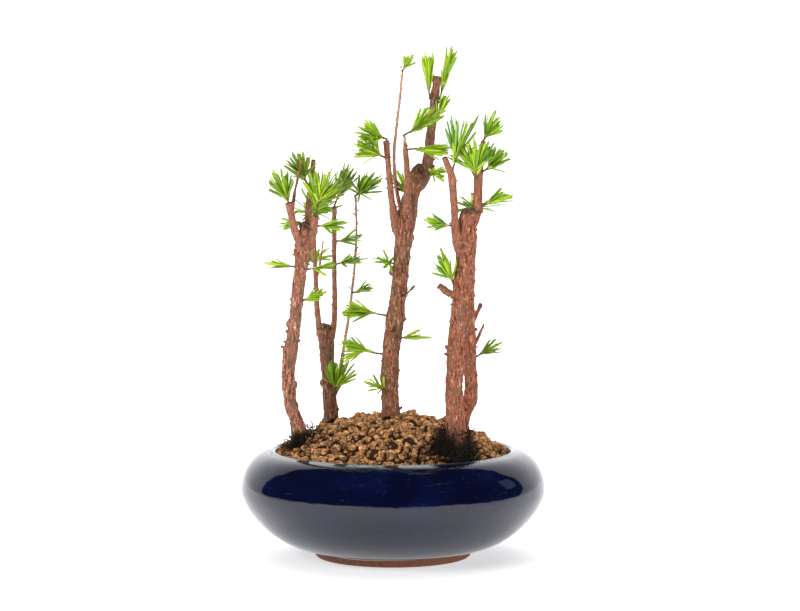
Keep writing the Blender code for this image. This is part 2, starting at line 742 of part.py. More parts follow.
def stem_meshes(root, direction, length):
    """The main twig of a mass and the bud on its end."""
    twig = rod(root, direction, length, STEM_RADIUS, SHOOT_RADIUS, TWIG_SIDES)
    return twig, bud(root + direction * length, direction)


def build_mass(mass, stem, space, collection, material):
    """One stem with side shoots and tufts of needles, joined by one union."""
    rng = random.Random(mass.name)
    pieces = new_collection("pieces", hidden=True)
    made = None
    for order, (root, direction, length) in enumerate(shoots_of(mass, *stem, rng)):
        end = root + direction * length
        if order:
            bud_mesh = bud(end, direction)
            twig = rod(root, direction, length, SHOOT_RADIUS, SHOOT_RADIUS, TWIG_SIDES)
            if not (space.free(mass.name, bud_mesh, GAP) and space.free(mass.name, twig, GAP)):
                continue
            if length > BUD_RADIUS * BUD_STRETCH:
                new_object("twig", twig, pieces)
        else:
            twig, bud_mesh = stem_meshes(root, direction, length)
            made = new_object(mass.name, twig, collection, material)
        new_object("bud", bud_mesh, pieces)
        count = NEEDLES_A_TUFT + (0 if order else FIRST_TUFT_EXTRA)
        for way in tuft_directions(direction, count, mass.spread, rng):
            reach = mass.reach * rng.uniform(SHORTEST_NEEDLE, 1.0)
            leaf = needle(end - way * ROOT_SUNK, way, rng.uniform(0, math.tau), reach)
            if space.free(mass.name, leaf, NEEDLE_ROOM):
                new_object("needle", leaf, pieces)
    apply_boolean(made, "UNION", pieces)
    bpy.data.collections.remove(pieces)
    return made


def main():
    for obj in list(bpy.data.objects):
        bpy.data.objects.remove(obj, do_unlink=True)
    plant = new_collection("dawn_redwood_bonsai")
    workshop = new_collection("workshop", hidden=True)

    bark = new_material("bark", (0.33, 0.13, 0.08), 0.85)
    young_bark = new_material("young_bark", (0.45, 0.20, 0.11), 0.8)
    needles = new_material("needles", (0.22, 0.42, 0.03), 0.55)
    glaze = new_material("glaze", (0.006, 0.012, 0.07), 0.08)
    clay_grains = new_material("clay_grains", (0.24, 0.11, 0.045), 0.95)

    built = {}
    for i, limb in enumerate(LIMBS):
        material = bark if limb.flare else young_bark
        made = limb_object(limb, material, plant)
        cut_clear(made, [other for other in LIMBS[:i] if other.tree == limb.tree], workshop)
        made.data.shade_smooth()
        built[limb.name] = made

    build_pot(plant, glaze)
    soil = build_soil(plant, clay_grains, LIMBS, workshop)

    space = Space()
    space.add("soil", soil.data)
    trees = {name: space.add(name, made.data) for name, made in built.items()}
    limbs = {limb.name: limb for limb in LIMBS}
    stems = {mass.name: stem_of(mass, limbs[mass.limb], trees[mass.limb]) for mass in MASSES}
    for mass in MASSES:
        start, way, _ = stems[mass.name]
        for mesh in stem_meshes(start, way, mass.stem):
            space.add(mass.name, mesh)
    for mass in MASSES:
        made = build_mass(mass, stems[mass.name], space, plant, needles)
        space.add(mass.name, made.data)


main()
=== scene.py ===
"""Looks of the dawn redwood group in its glazed pot: metres, +Z up, in the frame of its solids.

Limbs, stubs, knots and masses of needles follow the same named sizes and the same seeded rule as
the solids, in millimetres. The wood becomes one mesh a tree with bark relief, each mass becomes
fine twigs, buds and flat needles, and the soil gets loose grains of baked clay.
"""

import itertools
import math
import random
from collections import namedtuple

import bmesh
import bpy
import numpy as np
from mathutils import Matrix, Vector, bvhtree


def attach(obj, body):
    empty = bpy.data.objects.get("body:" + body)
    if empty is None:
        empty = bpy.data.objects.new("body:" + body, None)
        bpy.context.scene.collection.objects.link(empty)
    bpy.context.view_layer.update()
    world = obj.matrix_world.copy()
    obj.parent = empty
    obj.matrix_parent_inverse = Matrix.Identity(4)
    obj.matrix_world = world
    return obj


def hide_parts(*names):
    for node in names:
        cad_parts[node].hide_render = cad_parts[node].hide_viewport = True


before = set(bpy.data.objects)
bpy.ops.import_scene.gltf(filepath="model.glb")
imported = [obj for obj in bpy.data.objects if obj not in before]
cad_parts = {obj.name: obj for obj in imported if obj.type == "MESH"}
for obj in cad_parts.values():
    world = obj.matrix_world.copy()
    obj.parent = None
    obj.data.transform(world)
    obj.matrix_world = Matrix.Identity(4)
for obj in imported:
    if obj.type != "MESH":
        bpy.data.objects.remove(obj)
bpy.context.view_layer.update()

MM = 0.001
GAP = 0.3
GOLDEN_TURN = math.radians(137.5)
HASH_PRIMES = (374761393, 668265263, 1440662683, 1274126177)
NEARLY_ALONG_Y = 0.2


class Wave(namedtuple("Wave", "size seed depth")):
    """Noise: wave size along X, Y and Z, a seed, and a depth in millimetres or as a share."""

    def at(self, points):
        """The noise at an array of points, from -1 to 1."""
        return wave(points, self.size, self.seed)


# The settings of a noise texture, at this many waves a metre.
Noise = namedtuple("Noise", "scale stretch detail roughness distortion",
                   defaults=((1, 1, 1), 6.0, 0.6, 0.0))

# A colour laid over another where a noise is high, from none at low to its share at high.
Overlay = namedtuple("Overlay", "noise low high share colour")

# A rough material whose colour and relief follow one noise.
Speckle = namedtuple("Speckle", "stops scale roughness relief detail", defaults=(6.0,))

# A rectangular light. Glossy surfaces mirror it only where that is said.
Softbox = namedtuple("Softbox", "name place target size power mirrored colour",
                     defaults=(False, (1, 1, 1)))

# The pot, as turned. The foot's profile is (distance out from its radius, height).
POT_RADIUS = 120.0
POT_HEIGHT = 84.0
BELLY_HEIGHT = 53.0
BELLY_FULLNESS = 1.6
SHOULDER_FULLNESS = 2.0
RIM_RADIUS = 94.0
FOOT_RADIUS = 61.0
GLAZE_EDGE = 69.0
GLAZE_HEIGHT = 7.5
POT_WALL = 6.0
POT_FLOOR = 11.0
INNER_FLOOR_RADIUS = 66.0
INNER_RIM_RADIUS = 92.0
LIP_RADIUS = 2.7
LIP_MIDDLE = 95.0
LIP_ARC = (180, 60)
LIP_TURN = 76
FOOT_PROFILE = ((2.6, 6.7), (1.2, 5.5), (0.6, 2.5), (0.2, 0.8), (-0.8, 0.0))
AXIS_RADIUS = 0.01
POT_SIDES = 160
INSIDE_STEPS = (16, 12)
LIP_STEPS = 10
OUTSIDE_STEPS = (26, 34)

# Where the glaze ends above the foot, and where it thins on the crest of the lip.
GLAZE_DROP = 1.4
GLAZE_BLEND = 7.0
GLAZE_WANDER = Wave((26, 26, 26), 21, 1.3)
CREST_OUT = 0.6
CREST_WIDTH = 1.3
CREST_FROM = 80

# The soil mound's grains. Their lumps and roughness are (wave size, depth).
SOIL_EDGE = 79.5
SKY_HEIGHT = 150
GRAIN_SHAPES = 16
GRAIN_LEVEL = 2
GRAIN_PIECES = 4
GRAIN_COUNT = 1750
GRAIN_RADIUS = (2.2, 4.3)
GRAIN_USUAL = 3.1
GRAIN_EDGE = 91.0
GRAIN_SCATTER = 2.2
GRAIN_SINK = (-2.7, 0.4)
GRAIN_TONE = (0.5, 0.24)
GRAIN_RIM_GAP = 1.2
GRAIN_RIM_SHARE = 0.7
GRAIN_TO_TRUNK = 0.35
TRUNK_FOOT_SHARE = 0.02
GRAIN_FIRST_SEED = 100
GRAIN_LUMPS = ((0.6, 0.6, 0.6), 0.20)
GRAIN_ROUGHNESS = ((0.22, 0.22, 0.22), 0.07)
ROUGHNESS_SEED = 50
GRAIN_CUTS = 9
GRAIN_CUT_DEPTH = (0.50, 0.80)
GRAIN_STRETCH = (0.8, 1.2)

# Root fibres and dry stalks.
FIBRE_TO_RIM = 3.0
FIBRE_CROWDING = 1.6
FIBRE_LIFT = 1.5
FIBRE_LOWEST = 0.5
FIBRE_STEPS = (5, 9)
FIBRE_STEP = (0.9, 1.6)
FIBRE_BEND = 0.7
FIBRE_RADIUS = (0.16, 0.42)
FIBRE_TAPER = 0.6
FIBRE_SIDES = 5
WISP_STEPS = 12
WISP_SIDES = 6
WISP_FOOT = 0.5
WISP_DROOP = 0.3
WISP_TAPER = 0.6
WISP_LOWEST = 1.5

# The shape of the wood. Spurs keep these lengths at a limb's foot and tip free.
FLARE_HEIGHT = 6.0
KNOT_SUNK = 0.45
KNOT_RISE = 10
KNOT_STRETCH = (1, 1, 1.1)
BALL_LEVEL = 3
BALL_ROUGHNESS = 0.14
BALL_WAVE = 0.8
BALL_SEED = 9
LIMB_SIDES = 20
STATION_STEP = 2.0
FEWEST_STATIONS = 10
LIMB_LUMPS = (Wave((9, 9, 16), 3, 0.09), Wave((5, 5, 40), 4, 0.05))
LIMB_SAMPLES = 61
END_SHARE = 0.98
CROOK = 0.16
STUB_STEP = 1.2
FEWEST_STUB_STEPS = 5
STUB_TAPER = 0.7
STUB_SIDES = 10
SPUR_STEP = 4.0
SPUR_ENDS = (8, 3)
SPUR_SIZE = (0.6, 1.3)
SPUR_LENGTH = (0.8, 3.2)
SPUR_RISE = 35
SPUR_TAPER = 0.8
SPUR_SIDES = 8
FULL_SPUR_LIMB = 4.0
THINNEST_SPUR = 0.5
STUMP_LUMPS = 12
STUMP_SPREAD = 0.62
STUMP_DEPTH = 1.1
STUMP_DOME = 0.55
STUMP_LUMP_SIZE = (0.34, 0.5)
SKIN_VOXEL = {"left": 0.45, "slim": 0.45, "centre": 0.46, "front": 0.50}
SKIN_SMOOTHING = (0.5, 3)
POINTS_AT_ONCE = 20000

# The bark's relief, as deep as this on a limb of full thickness.
FULL_RELIEF_LIMB = 6.0
LEAST_RELIEF = 0.28
FISSURES = Wave((1.6, 1.6, 9), 11, 0.8)
FISSURE_LIFT = 0.22
FLAKES = Wave((2.6, 2.6, 5), 12, 0.6)
FLAKE_EDGES = (0.02, 0.24)
BARK_RINGS = Wave((30, 30, 2.6), 13, 0.3)
RING_EDGES = (0.55, 0.9)
FINE_RELIEF = Wave((0.9, 0.9, 2.4), 14, 0.14)

# A healed scar on a knot, in shares of the knot's radius, with its ring's radius and width.
SCAR_REACH = 1.6
SCAR_RING = (0.55, 0.18)
SCAR_PIT = 0.32
SCAR_RING_HEIGHT = 0.14
SCAR_PIT_DEPTH = 0.3
SCAR_DARKNESS = 0.9
SCAR_PALENESS = 0.97

# The cut end of a limb. Reach and depth are (share of its radius, millimetres more).
END_REACH = (2.2, 1.0)
END_DEPTH = (0.25, 0.9)
END_DARK_FROM = -0.2
END_TOP = 1.2
END_LIKENESS = 0.6
END_ROUGH_FROM = -0.4
END_ROUGHNESS = Wave((1.3, 1.3, 1.3), 15, 0.3)

# Which bark is young by the limb's radius, which limb is darker, and how high the foot is wet,
# with the heights over the ground where its edge is dry and wet.
YOUNG_RADII = (4.6, 2.0)
SHOOT_RADII = (1.5, 1.2)
YOUNG_SHARE = 0.93
SHOOT_SHARE = 0.07
DARK_LIMBS = {"leader": 0.75}
DARK_BASE = 0.6
DARK_BLOTCHES = Wave((2.2, 2.2, 3.5), 17, 0.4)
WET_HEIGHT = {"front": 20, "left": 6}
WET_EDGE = (9, 7)
WET_WANDER = Wave((3, 3, 5), 16, 3)
BARK_TINTS = {
    "left": (1.22, 1.27, 1.34), "slim": (0.90, 0.95, 1.0), "centre": (0.98, 1.02, 0.95),
    "front": (1.12, 0.98, 0.92),
}

# Twigs and buds. Twig radii are (root, tip), for a stem and for a shoot. A bud scale's rings are
# (share of its length, radius), its foot is (how far back, how much less by the last scale) and
# its width is (least, bulge), in shares of the bud's size.
STEM_RADIUS = 0.95
LEAST_LEAN_OUT = 0.06
LEAST_ACROSS = 0.3
TIP_SHARE = 0.995
BELOW_TIP_SHARE = 0.97
RAY_START = 40
RAY_REACH = 60
SIDE_TURN = (0.75, 1.15)
SIDE_LIFT = (-0.25, 0.35)
SIDE_LENGTH_SHARE = 0.3
SIDE_LENGTH_MORE = 1.2
LOWEST_SIDE_SHOOT = 0.35
SIDE_SHOOT_STEP = 0.32
FINE_SHOOTS = 3
FINE_SHOOTS_FROM = 24
FINE_SHOOT_TURN = (0.3, 1.1)
FINE_SHOOT_TILT = 0.5
FINE_SHOOT_PLACE = (0.55, 0.95)
FINE_SHOOT_REACH = 0.82
TWIG_RADII = ((0.855, 0.6), (0.6, 0.5))
TWIG_BOW = 0.05
TWIG_SUNK = 1.4
TWIG_STEP = 2
FEWEST_TWIG_STEPS = 3
TWIG_SIDES = 8
BUD_SIZES = (1.35, 1.1)
BUD_SCALES = 7
BUD_SCALE_SIDES = 6
BUD_SCALE_RINGS = ((0.0, 0.34), (0.3, 0.34), (0.65, 0.42), (1.0, 0.08))
BUD_SCALE_LENGTH = 2.1
BUD_FOOT = (0.9, 0.35)
BUD_WIDTH = (0.30, 0.52)
BUD_BULGE = 2.2

# Needles. The blade is (share of its length, half width), and the needles down a stem take these
# places (first share of the stem, span).
BLADE = (
    (0.0, 0.30), (0.05, 0.42), (0.14, 0.85), (0.35, 1.0), (0.6, 1.0), (0.82, 0.92), (0.94, 0.68),
    (1.0, 0.22),
)
BLADE_SHORTENING = 0.12
BLADE_THIN_END = 0.15
BLADE_KEEL = 0.55
NEEDLE_WIDTH = (1.8, 2.6)
NEEDLE_THICKNESS = 0.42
NEEDLE_CURL = (-0.10, 0.14)
NEEDLE_CLEAR = 1.5
TUFT_NEEDLES = (8, 6)
LOOSE_NEEDLES = 2
LOOSE_LEAN = (1.0, 1.3)
BUNDLE_LEAN = (0.8, 1.2)
BUNDLE_SHARE = 0.75
FIRST_NEEDLE_PLACE = 0.35
TUFT_FLATNESS = 0.7
WIDEST_TUFT = 60
NARROW_TUFT = 24
NEEDLE_SETBACK = 6.0
MIDDLE_REACH = 1.05
OUTER_REACH_LOSS = 0.24
NEEDLE_REACH = (0.82, 1.0)
SIDEWAYS_NEEDLE = 0.16
SIDEWAYS_ROLL = 1.4
NEEDLE_ROLL = 0.45
STEM_NEEDLE_STEP = 2.6
STEM_NEEDLE_PLACES = (0.3, 0.6)
STEM_NEEDLE_SHIFT = 0.3
STEM_NEEDLE_LEAN = (0.8, 1.4)
STEM_NEEDLE_TILT = 0.5
STEM_NEEDLE_ROLL = 0.5
STEM_NEEDLE_REACH = (0.36, 0.55)

# Which colours the shoots of a tree's masses, or of one mass, take in turn.
PALETTES = {
    "left": (0, 1, 1, 2), "slim": (1, 1, 2, 0), "centre": (0, 0, 1, 0), "front": (0, 1, 3, 0),
    "needles_left_crown": (2, 2, 1, 1), "needles_slim_head": (1, 2, 1, 2),
    "needles_slim_top": (1, 2, 2, 3), "needles_whip_top": (2, 1, 2, 1),
    "needles_leader_top": (0, 1, 0, 2), "needles_back_right": (1, 2, 1, 0),
}
# The needle colours: middle of the blade, base and tip.
GREENS = {
    "needle_lime": ((0.45, 0.69, 0.030), (0.58, 0.70, 0.09), (0.30, 0.37, 0.06)),
    "needle_leaf": ((0.34, 0.58, 0.028), (0.50, 0.64, 0.07), (0.23, 0.30, 0.055)),
    "needle_olive": ((0.28, 0.42, 0.028), (0.44, 0.53, 0.07), (0.18, 0.22, 0.065)),
    "needle_green": ((0.24, 0.47, 0.062), (0.44, 0.58, 0.09), (0.16, 0.24, 0.09)),
}
BLADE_MIDDLE = (0.16, 0.86)
# Painted shade: each blade is darker along both rims, standing in for the shade between overlapping
# needles.
BLADE_RIM_PAINTED_SHADE = ((0.04, 0.5), (0.2, 0), (0.8, 0), (0.96, 0.5))
RIM_SHADE = 0.6
BLADE_STRIPE = ((0.38, 0), (0.5, 0.4), (0.62, 0))
STRIPE_LIGHT = (1.5, 0.02)
BLADE_SHADES = ((0.0, (0.55, 0.60, 0.60)), (0.4, (1, 1, 1)), (1.0, (1.3, 1.22, 1.2)))
VEINS = Noise(1400, (1, 1, 0.5), 3, 0.5)
VEIN_SHADES = ((0.3, 0.4), (0.7, 1))
VEIN_SHARE = 0.25
BLADE_SUBSURFACE = 0.15
BLADE_DEPTHS = (0.0006, 0.001, 0.0003)

# Each material's finish is (roughness, specular), and a relief is (depth in metres, strength).
BARK_FINISH = (0.8, 0.3)
STRIP_RELIEF = (0.0006, 0.8)
GRAIN_RELIEF = (0.00025, 0.7)
NEEDLE_FINISH = (0.42, 0.35)
VEIN_RELIEF = (0.0001, 0.5)
SPECKLE_ROUGHNESS = 0.65
SPECKLE_SPECULAR = 0.3
SPECKLE_STRENGTH = 0.9
PEEL_RELIEF = (0.00012, 0.35)
SWELL_RELIEF = (0.0016, 0.4)
PAPER_FINISH = (0.9, 0.2)

# Bark colours are (place on the noise, colour).
BARK_STRIPS = Noise(640, (1, 1, 0.26), 9, 0.7, 0.6)
BARK_GRAIN = Noise(900, (1, 1, 0.3), 6, 0.7)
BARK_PATCHES = Overlay(Noise(150, (1, 1, 0.45), 5), 0.44, 0.60, 0.75, (0.20, 0.105, 0.062))
BARK_FLECKS = Overlay(Noise(800, (1, 1, 0.4), 4), 0.60, 0.66, 0.8, (0.58, 0.42, 0.31))
BARK_GRIME = Overlay(Noise(1500, (1, 1, 0.5), 5), 0.60, 0.70, 0.7, (0.06, 0.025, 0.018))
OLD_BARK = (
    (0.36, (0.022, 0.009, 0.006)), (0.44, (0.13, 0.043, 0.024)), (0.51, (0.30, 0.100, 0.056)),
    (0.58, (0.44, 0.175, 0.104)), (0.66, (0.60, 0.42, 0.30)),
)
YOUNG_BARK = (
    (0.32, (0.10, 0.035, 0.022)), (0.46, (0.30, 0.11, 0.065)), (0.58, (0.42, 0.18, 0.11)),
    (0.70, (0.60, 0.36, 0.25)),
)
SHOOT_BARK = ((0.34, (0.28, 0.12, 0.07)), (0.5, (0.52, 0.28, 0.18)), (0.66, (0.70, 0.44, 0.30)))
CUT_WOOD = ((0.36, (0.025, 0.014, 0.010)), (0.5, (0.12, 0.062, 0.040)), (0.66, (0.30, 0.19, 0.13)))
WET_BARK = ((0.4, (0.004, 0.0035, 0.003)), (0.7, (0.030, 0.019, 0.014)))

# The glaze, its pale edges and the bare foot.
GLAZE_ROUGHNESS = 0.07
BARE_ROUGHNESS = 0.85
GLAZE_IOR = 1.58
GLAZE_BLUES = (
    (0.30, (0.0008, 0.0014, 0.009)), (0.52, (0.0010, 0.0020, 0.018)), (0.72, (0.002, 0.005, 0.036)),
)
GLAZE_DEPTH = Noise(26, (1, 1, 2.2), 5, 0.55)
GLAZE_SWELL = Noise(20, (1, 1, 2.2), 3, 0.45)
GLAZE_PEEL = Noise(130, detail=2, roughness=0.4)
# Thin pale blue streaks, narrow in height and long round the pot: painted highlights in the dark
# glaze.
GLAZE_HIGHLIGHT_STREAKS = Overlay(Noise(90, (1, 1, 14), 3, 0.5, 1.5), 0.68, 0.72, 0.35, (0.05, 0.08, 0.16))
GLAZE_SPECKS = Overlay(Noise(700, detail=2), 0.70, 0.78, 0.5, (0.10, 0.14, 0.26))
LIP_COLOUR = (0.13, 0.16, 0.23)
EDGE_COLOUR = (0.50, 0.46, 0.44)
FOOT_GRAIN = Noise(520, detail=7, roughness=0.7)
FOOT_CLAY = (
    (0.32, (0.13, 0.046, 0.024)), (0.55, (0.21, 0.078, 0.042)), (0.72, (0.30, 0.13, 0.075)),
)
GLAZED_FROM = ((0.46, 0), (0.52, 1))
GLAZE_RIM = ((0.40, 0), (0.48, 1), (0.56, 0))
GLAZE_SHINE = ((0.46, BARE_ROUGHNESS), (0.54, GLAZE_ROUGHNESS))

SPECKLE_SHADES = ((0.0, (0.35, 0.35, 0.38)), (0.5, (1, 1, 1)), (1.0, (1.4, 1.35, 1.35)))
SPECKLES = {
    "twig_bark": Speckle(
        ((0.35, (0.30, 0.15, 0.06)), (0.55, (0.50, 0.30, 0.13)), (0.72, (0.62, 0.42, 0.20))),
        1100, 0.7, 0.00015),
    "bud_scale": Speckle(
        ((0.35, (0.42, 0.26, 0.10)), (0.6, (0.66, 0.48, 0.24)), (0.8, (0.80, 0.66, 0.40))),
        1300, 0.6, 0.0001),
    "baked_clay": Speckle(
        ((0.34, (0.034, 0.016, 0.008)), (0.45, (0.26, 0.12, 0.047)), (0.56, (0.55, 0.28, 0.11)),
         (0.68, (0.95, 0.64, 0.34))), 420, 0.9, 0.0007, 8),
    "root_fibre": Speckle(
        ((0.35, (0.006, 0.005, 0.004)), (0.6, (0.028, 0.020, 0.014)), (0.85, (0.10, 0.07, 0.045))),
        700, 0.85, 0.0001),
    "dry_stalk": Speckle(
        ((0.35, (0.20, 0.12, 0.06)), (0.6, (0.36, 0.24, 0.12)), (0.8, (0.55, 0.42, 0.24))),
        900, 0.8, 0.0001),
    "green_sprout": Speckle(
        ((0.35, (0.20, 0.30, 0.03)), (0.6, (0.42, 0.55, 0.05)), (0.8, (0.55, 0.66, 0.10))),
        900, 0.6, 0.0001),
    # The soil's solid under the loose grains: much darker than them, as painted shade in the gaps
    # between grains.
    "deep_clay": Speckle(
        ((0.35, (0.03, 0.016, 0.008)), (0.6, (0.12, 0.06, 0.025)), (0.8, (0.22, 0.12, 0.05))),
        260, 0.95, 0.0012),
}

# The stage and the lights, in metres.
PAPER_TONE = Noise(3, detail=2)
PAPER_COLOURS = ((0.3, (0.86, 0.86, 0.87)), (0.7, (0.90, 0.90, 0.90)))
PAPER_GLOW = 0.5
FLOOR_REACH = 40.0
BACKDROP_REACH = 5.0
BACKDROP_FOOT = 1.6
BACKDROP_BEND = 0.8
BACKDROP_HEIGHT = 4.0
BACKDROP_STEPS = 9
MIDDLE = (0, 0, 0.2)
SKY = (0.45, 0.65, 1.0)
LIGHTS = (
    Softbox("overhead", (0.0, 0.2, 1.8), MIDDLE, (3.0, 2.4), 26),
    Softbox("key", (-1.5, -1.5, 1.1), MIDDLE, (1.2, 1.0), 34),
    Softbox("fill", (1.7, -1.4, 0.6), MIDDLE, (1.6, 1.0), 24),
    Softbox("window", (1.42, 0.24, 0.62), MIDDLE, (0.30, 0.42), 0.22, True, SKY),
    Softbox("strip", (0.7, -0.74, 1.22), MIDDLE, (0.5, 0.05), 0.03, True, SKY),
    Softbox("backdrop_light", (0.0, 0.9, 2.2), (0, 2.4, 0.6), (1.6, 0.8), 30),
)
WORLD_COLOUR = (0.55, 0.66, 1.0, 1)
WORLD_STRENGTH = 0.05

# The camera of the photograph.
CAMERA_PLACE = (0.0055, -1.960, 0.339)
CAMERA_TILT = 90 - 4.13
CAMERA_LENS = 112.5
CAMERA_SENSOR = 36
CAMERA_FAR = 50

# A tapering limb. Bends are (share of the way up, shift along X, shift along Y).
Limb = namedtuple("Limb", "name tree foot tip radii bends flare", defaults=((), 0.0))

# A short dead stub or peg that is one piece with its limb.
Stub = namedtuple("Stub", "limb height facing rise length radius")

# A rounded swelling on a limb, where a bough has been cut off and healed.
Knot = namedtuple("Knot", "limb height facing radius")

# A mass of needles. It faces this way from its limb, in degrees from +X towards +Y.
Mass = namedtuple("Mass", "name limb height facing rise stem shoots reach spread")

# A tangle of black fibrous roots: middle, clear and outer radius, height, number of fibres.
Roots = namedtuple("Roots", "x y clear wide tall fibres")

# A thin dry stalk or sprout on the soil: foot, length, rise, facing, curl, radius, kind.
Wisp = namedtuple("Wisp", "x y length rise facing curl radius kind")

LIMBS = (
    Limb("trunk_left", "left", (-72, -16, 89), (-68, -16, 259),
         (6.6, 5.4, 4.9, 4.9, 5.0, 4.9, 4.7, 4.6, 4.6, 6.6, 3.5),
         ((0.1, -3.0, 0), (0.2, -8.9, -1), (0.35, -11.2, -2), (0.5, -8.1, -2), (0.8, -3.3, 0)),
         flare=2.1),
    Limb("bough_left_stub", "left", (-69, -17, 243), (-81, -22, 279), (3.2, 3.0, 2.8, 2.9),
         ((0.3, -2.2, -1),)),
    Limb("bough_left_right", "left", (-66, -17, 243), (-60, -21, 269), (3.2, 2.8, 2.8, 2.7),
         ((0.45, 1.2, -1),)),
    Limb("bough_left_tall", "left", (-67.5, -14, 247), (-62, -6, 312),
         (3.0, 2.6, 2.5, 2.2, 1.8, 1.8),
         ((0.25, 0, 4.5), (0.5, -0.8, 4))),
    Limb("trunk_slim", "slim", (-50, 27, 96), (-54, 27, 177), (6.0, 5.4, 5.2, 5.1, 5.2, 6.2, 3.4),
         ((0.3, 0.7, 0),), flare=1.8),
    Limb("bough_slim_left", "slim", (-55, 27, 158), (-63.4, 30, 259),
         (2.9, 2.3, 2.1, 1.9, 1.8, 1.4),
         ((0.2, -2.6, 1.4), (0.45, -2.4, 2))),
    Limb("bough_slim_right", "slim", (-53, 27, 156), (-46.6, 22, 274),
         (2.9, 2.3, 2.0, 1.9, 1.7, 1.9),
         ((0.15, 3.8, -1), (0.3, 4.7, -1.6), (0.6, 2.4, -1.6))),
    Limb("whip_slim", "slim", (-50, 29, 117), (-29.8, 27, 282), (1.9, 1.4, 1.1, 1.0, 1.0, 1.0),
         ((0.08, 3.8, 2.0), (0.25, 5.0, 2.0), (0.5, 6.4, 0), (0.8, 4.6, 0))),
    Limb("trunk_centre", "centre", (-1.2, -6, 103), (19, 0, 302),
         (7.2, 6.7, 6.9, 6.6, 6.6, 6.2, 6.4, 6.4, 7.9, 6.0, 5.6),
         ((0.15, -4.2, -1), (0.28, -6.1, -2), (0.57, -5.1, -1), (0.8, -5.1, -2), (0.93, -2.1, 0)),
         flare=2.0),
    Limb("leader", "centre", (17, 0, 287), (34.9, 5, 377), (4.0, 4.2, 3.8, 3.5, 3.2, 3.1),
         ((0.12, 5.6, 0.5), (0.25, 5.6, 0), (0.5, 3.8, 0), (0.75, 1.6, 0))),
    Limb("bough_centre_left", "centre", (6.5, -5, 249), (-5.4, -10, 327),
         (3.6, 3.2, 2.4, 2.3, 2.1, 2.5),
         ((0.17, -2.6, -2.6), (0.4, -2.7, -2.8), (0.7, -1.4, -1.2))),
    Limb("bough_centre_front", "centre", (11.5, -5, 266), (9, -15, 330),
         (3.6, 3.0, 2.4, 2.3, 2.2, 0.8),
         ((0.2, 0, -5.5), (0.5, 0.9, -4))),
    Limb("whip_centre", "centre", (9, 1, 259), (7.5, 6, 381), (2.0, 1.6, 1.3, 1.1, 0.9, 0.9),
         ((0.12, -3.0, 6.5), (0.25, -6.0, 5), (0.46, -7.6, 2.5), (0.7, -4.3, 1))),
    Limb("trunk_front", "front", (48.3, -64, 84), (56.3, -64, 273),
         (9.1, 7.3, 6.9, 6.7, 6.5, 6.3, 6.3, 6.5, 7.1, 7.2, 4.6),
         ((0.12, -1.5, 0), (0.3, -3.5, 0), (0.6, -2.7, 0), (0.8, 0.3, 0), (0.9, 0.5, 0)),
         flare=2.6),
    Limb("bough_front_left", "front", (53, -65, 237), (38.7, -70, 315),
         (3.5, 3.2, 2.7, 2.8, 2.8, 2.1),
         ((0.17, -2.2, -3), (0.4, -0.4, -3), (0.8, 3.0, -1))),
    Limb("bough_front_right", "front", (56.5, -63.5, 257), (69, -60, 327),
         (3.5, 3.4, 3.4, 3.3, 3.0, 1.8),
         ((0.2, 4.6, 1.2), (0.4, 3.2, 2), (0.7, -0.2, 1))),
    Limb("trunk_back", "front", (49.5, -8, 97), (58.5, -57, 243),
         (6.1, 5.4, 5.0, 4.8, 4.6, 4.6, 4.4),
         ((0.1, 4.4, -2.6), (0.22, 9.0, -5.5), (0.45, 5.6, -5.0), (0.75, 1.4, -3.0)),
         flare=1.8),
)

STUBS = (
    Stub("bough_left_stub", 268, 40, 83, 45, 1.3),
    Stub("trunk_slim", 122, 345, 50, 9, 1.5),
    Stub("bough_slim_left", 212, 300, 66, 34, 0.9),
    Stub("trunk_centre", 194, 355, 62, 19, 1.0),
    Stub("trunk_centre", 158, 300, 40, 13, 0.9),
    Stub("trunk_front", 206, 190, 35, 11, 3.1),
    Stub("bough_front_right", 296, 186, 66, 30, 1.4),
    Stub("trunk_back", 182, 350, 60, 15, 1.9),
    Stub("trunk_back", 164, 340, 52, 19, 1.1),
)

KNOTS = (
    Knot("trunk_left", 246, 270, 6.4),
    Knot("trunk_left", 184, 190, 3.0),
    Knot("trunk_left", 163, 185, 3.2),
    Knot("trunk_left", 136, 350, 3.0),
    Knot("trunk_slim", 133, 190, 3.4),
    Knot("trunk_slim", 112, 340, 2.4),
    Knot("trunk_centre", 258, 190, 5.6),
    Knot("trunk_centre", 250, 345, 3.2),
    Knot("trunk_centre", 224, 185, 4.2),
    Knot("trunk_centre", 188, 350, 3.6),
    Knot("trunk_centre", 174, 265, 2.6),
    Knot("trunk_front", 246, 250, 6.0),
    Knot("trunk_front", 229, 350, 3.4),
    Knot("trunk_front", 188, 262, 2.6),
    Knot("bough_front_right", 274, 345, 2.4),
)

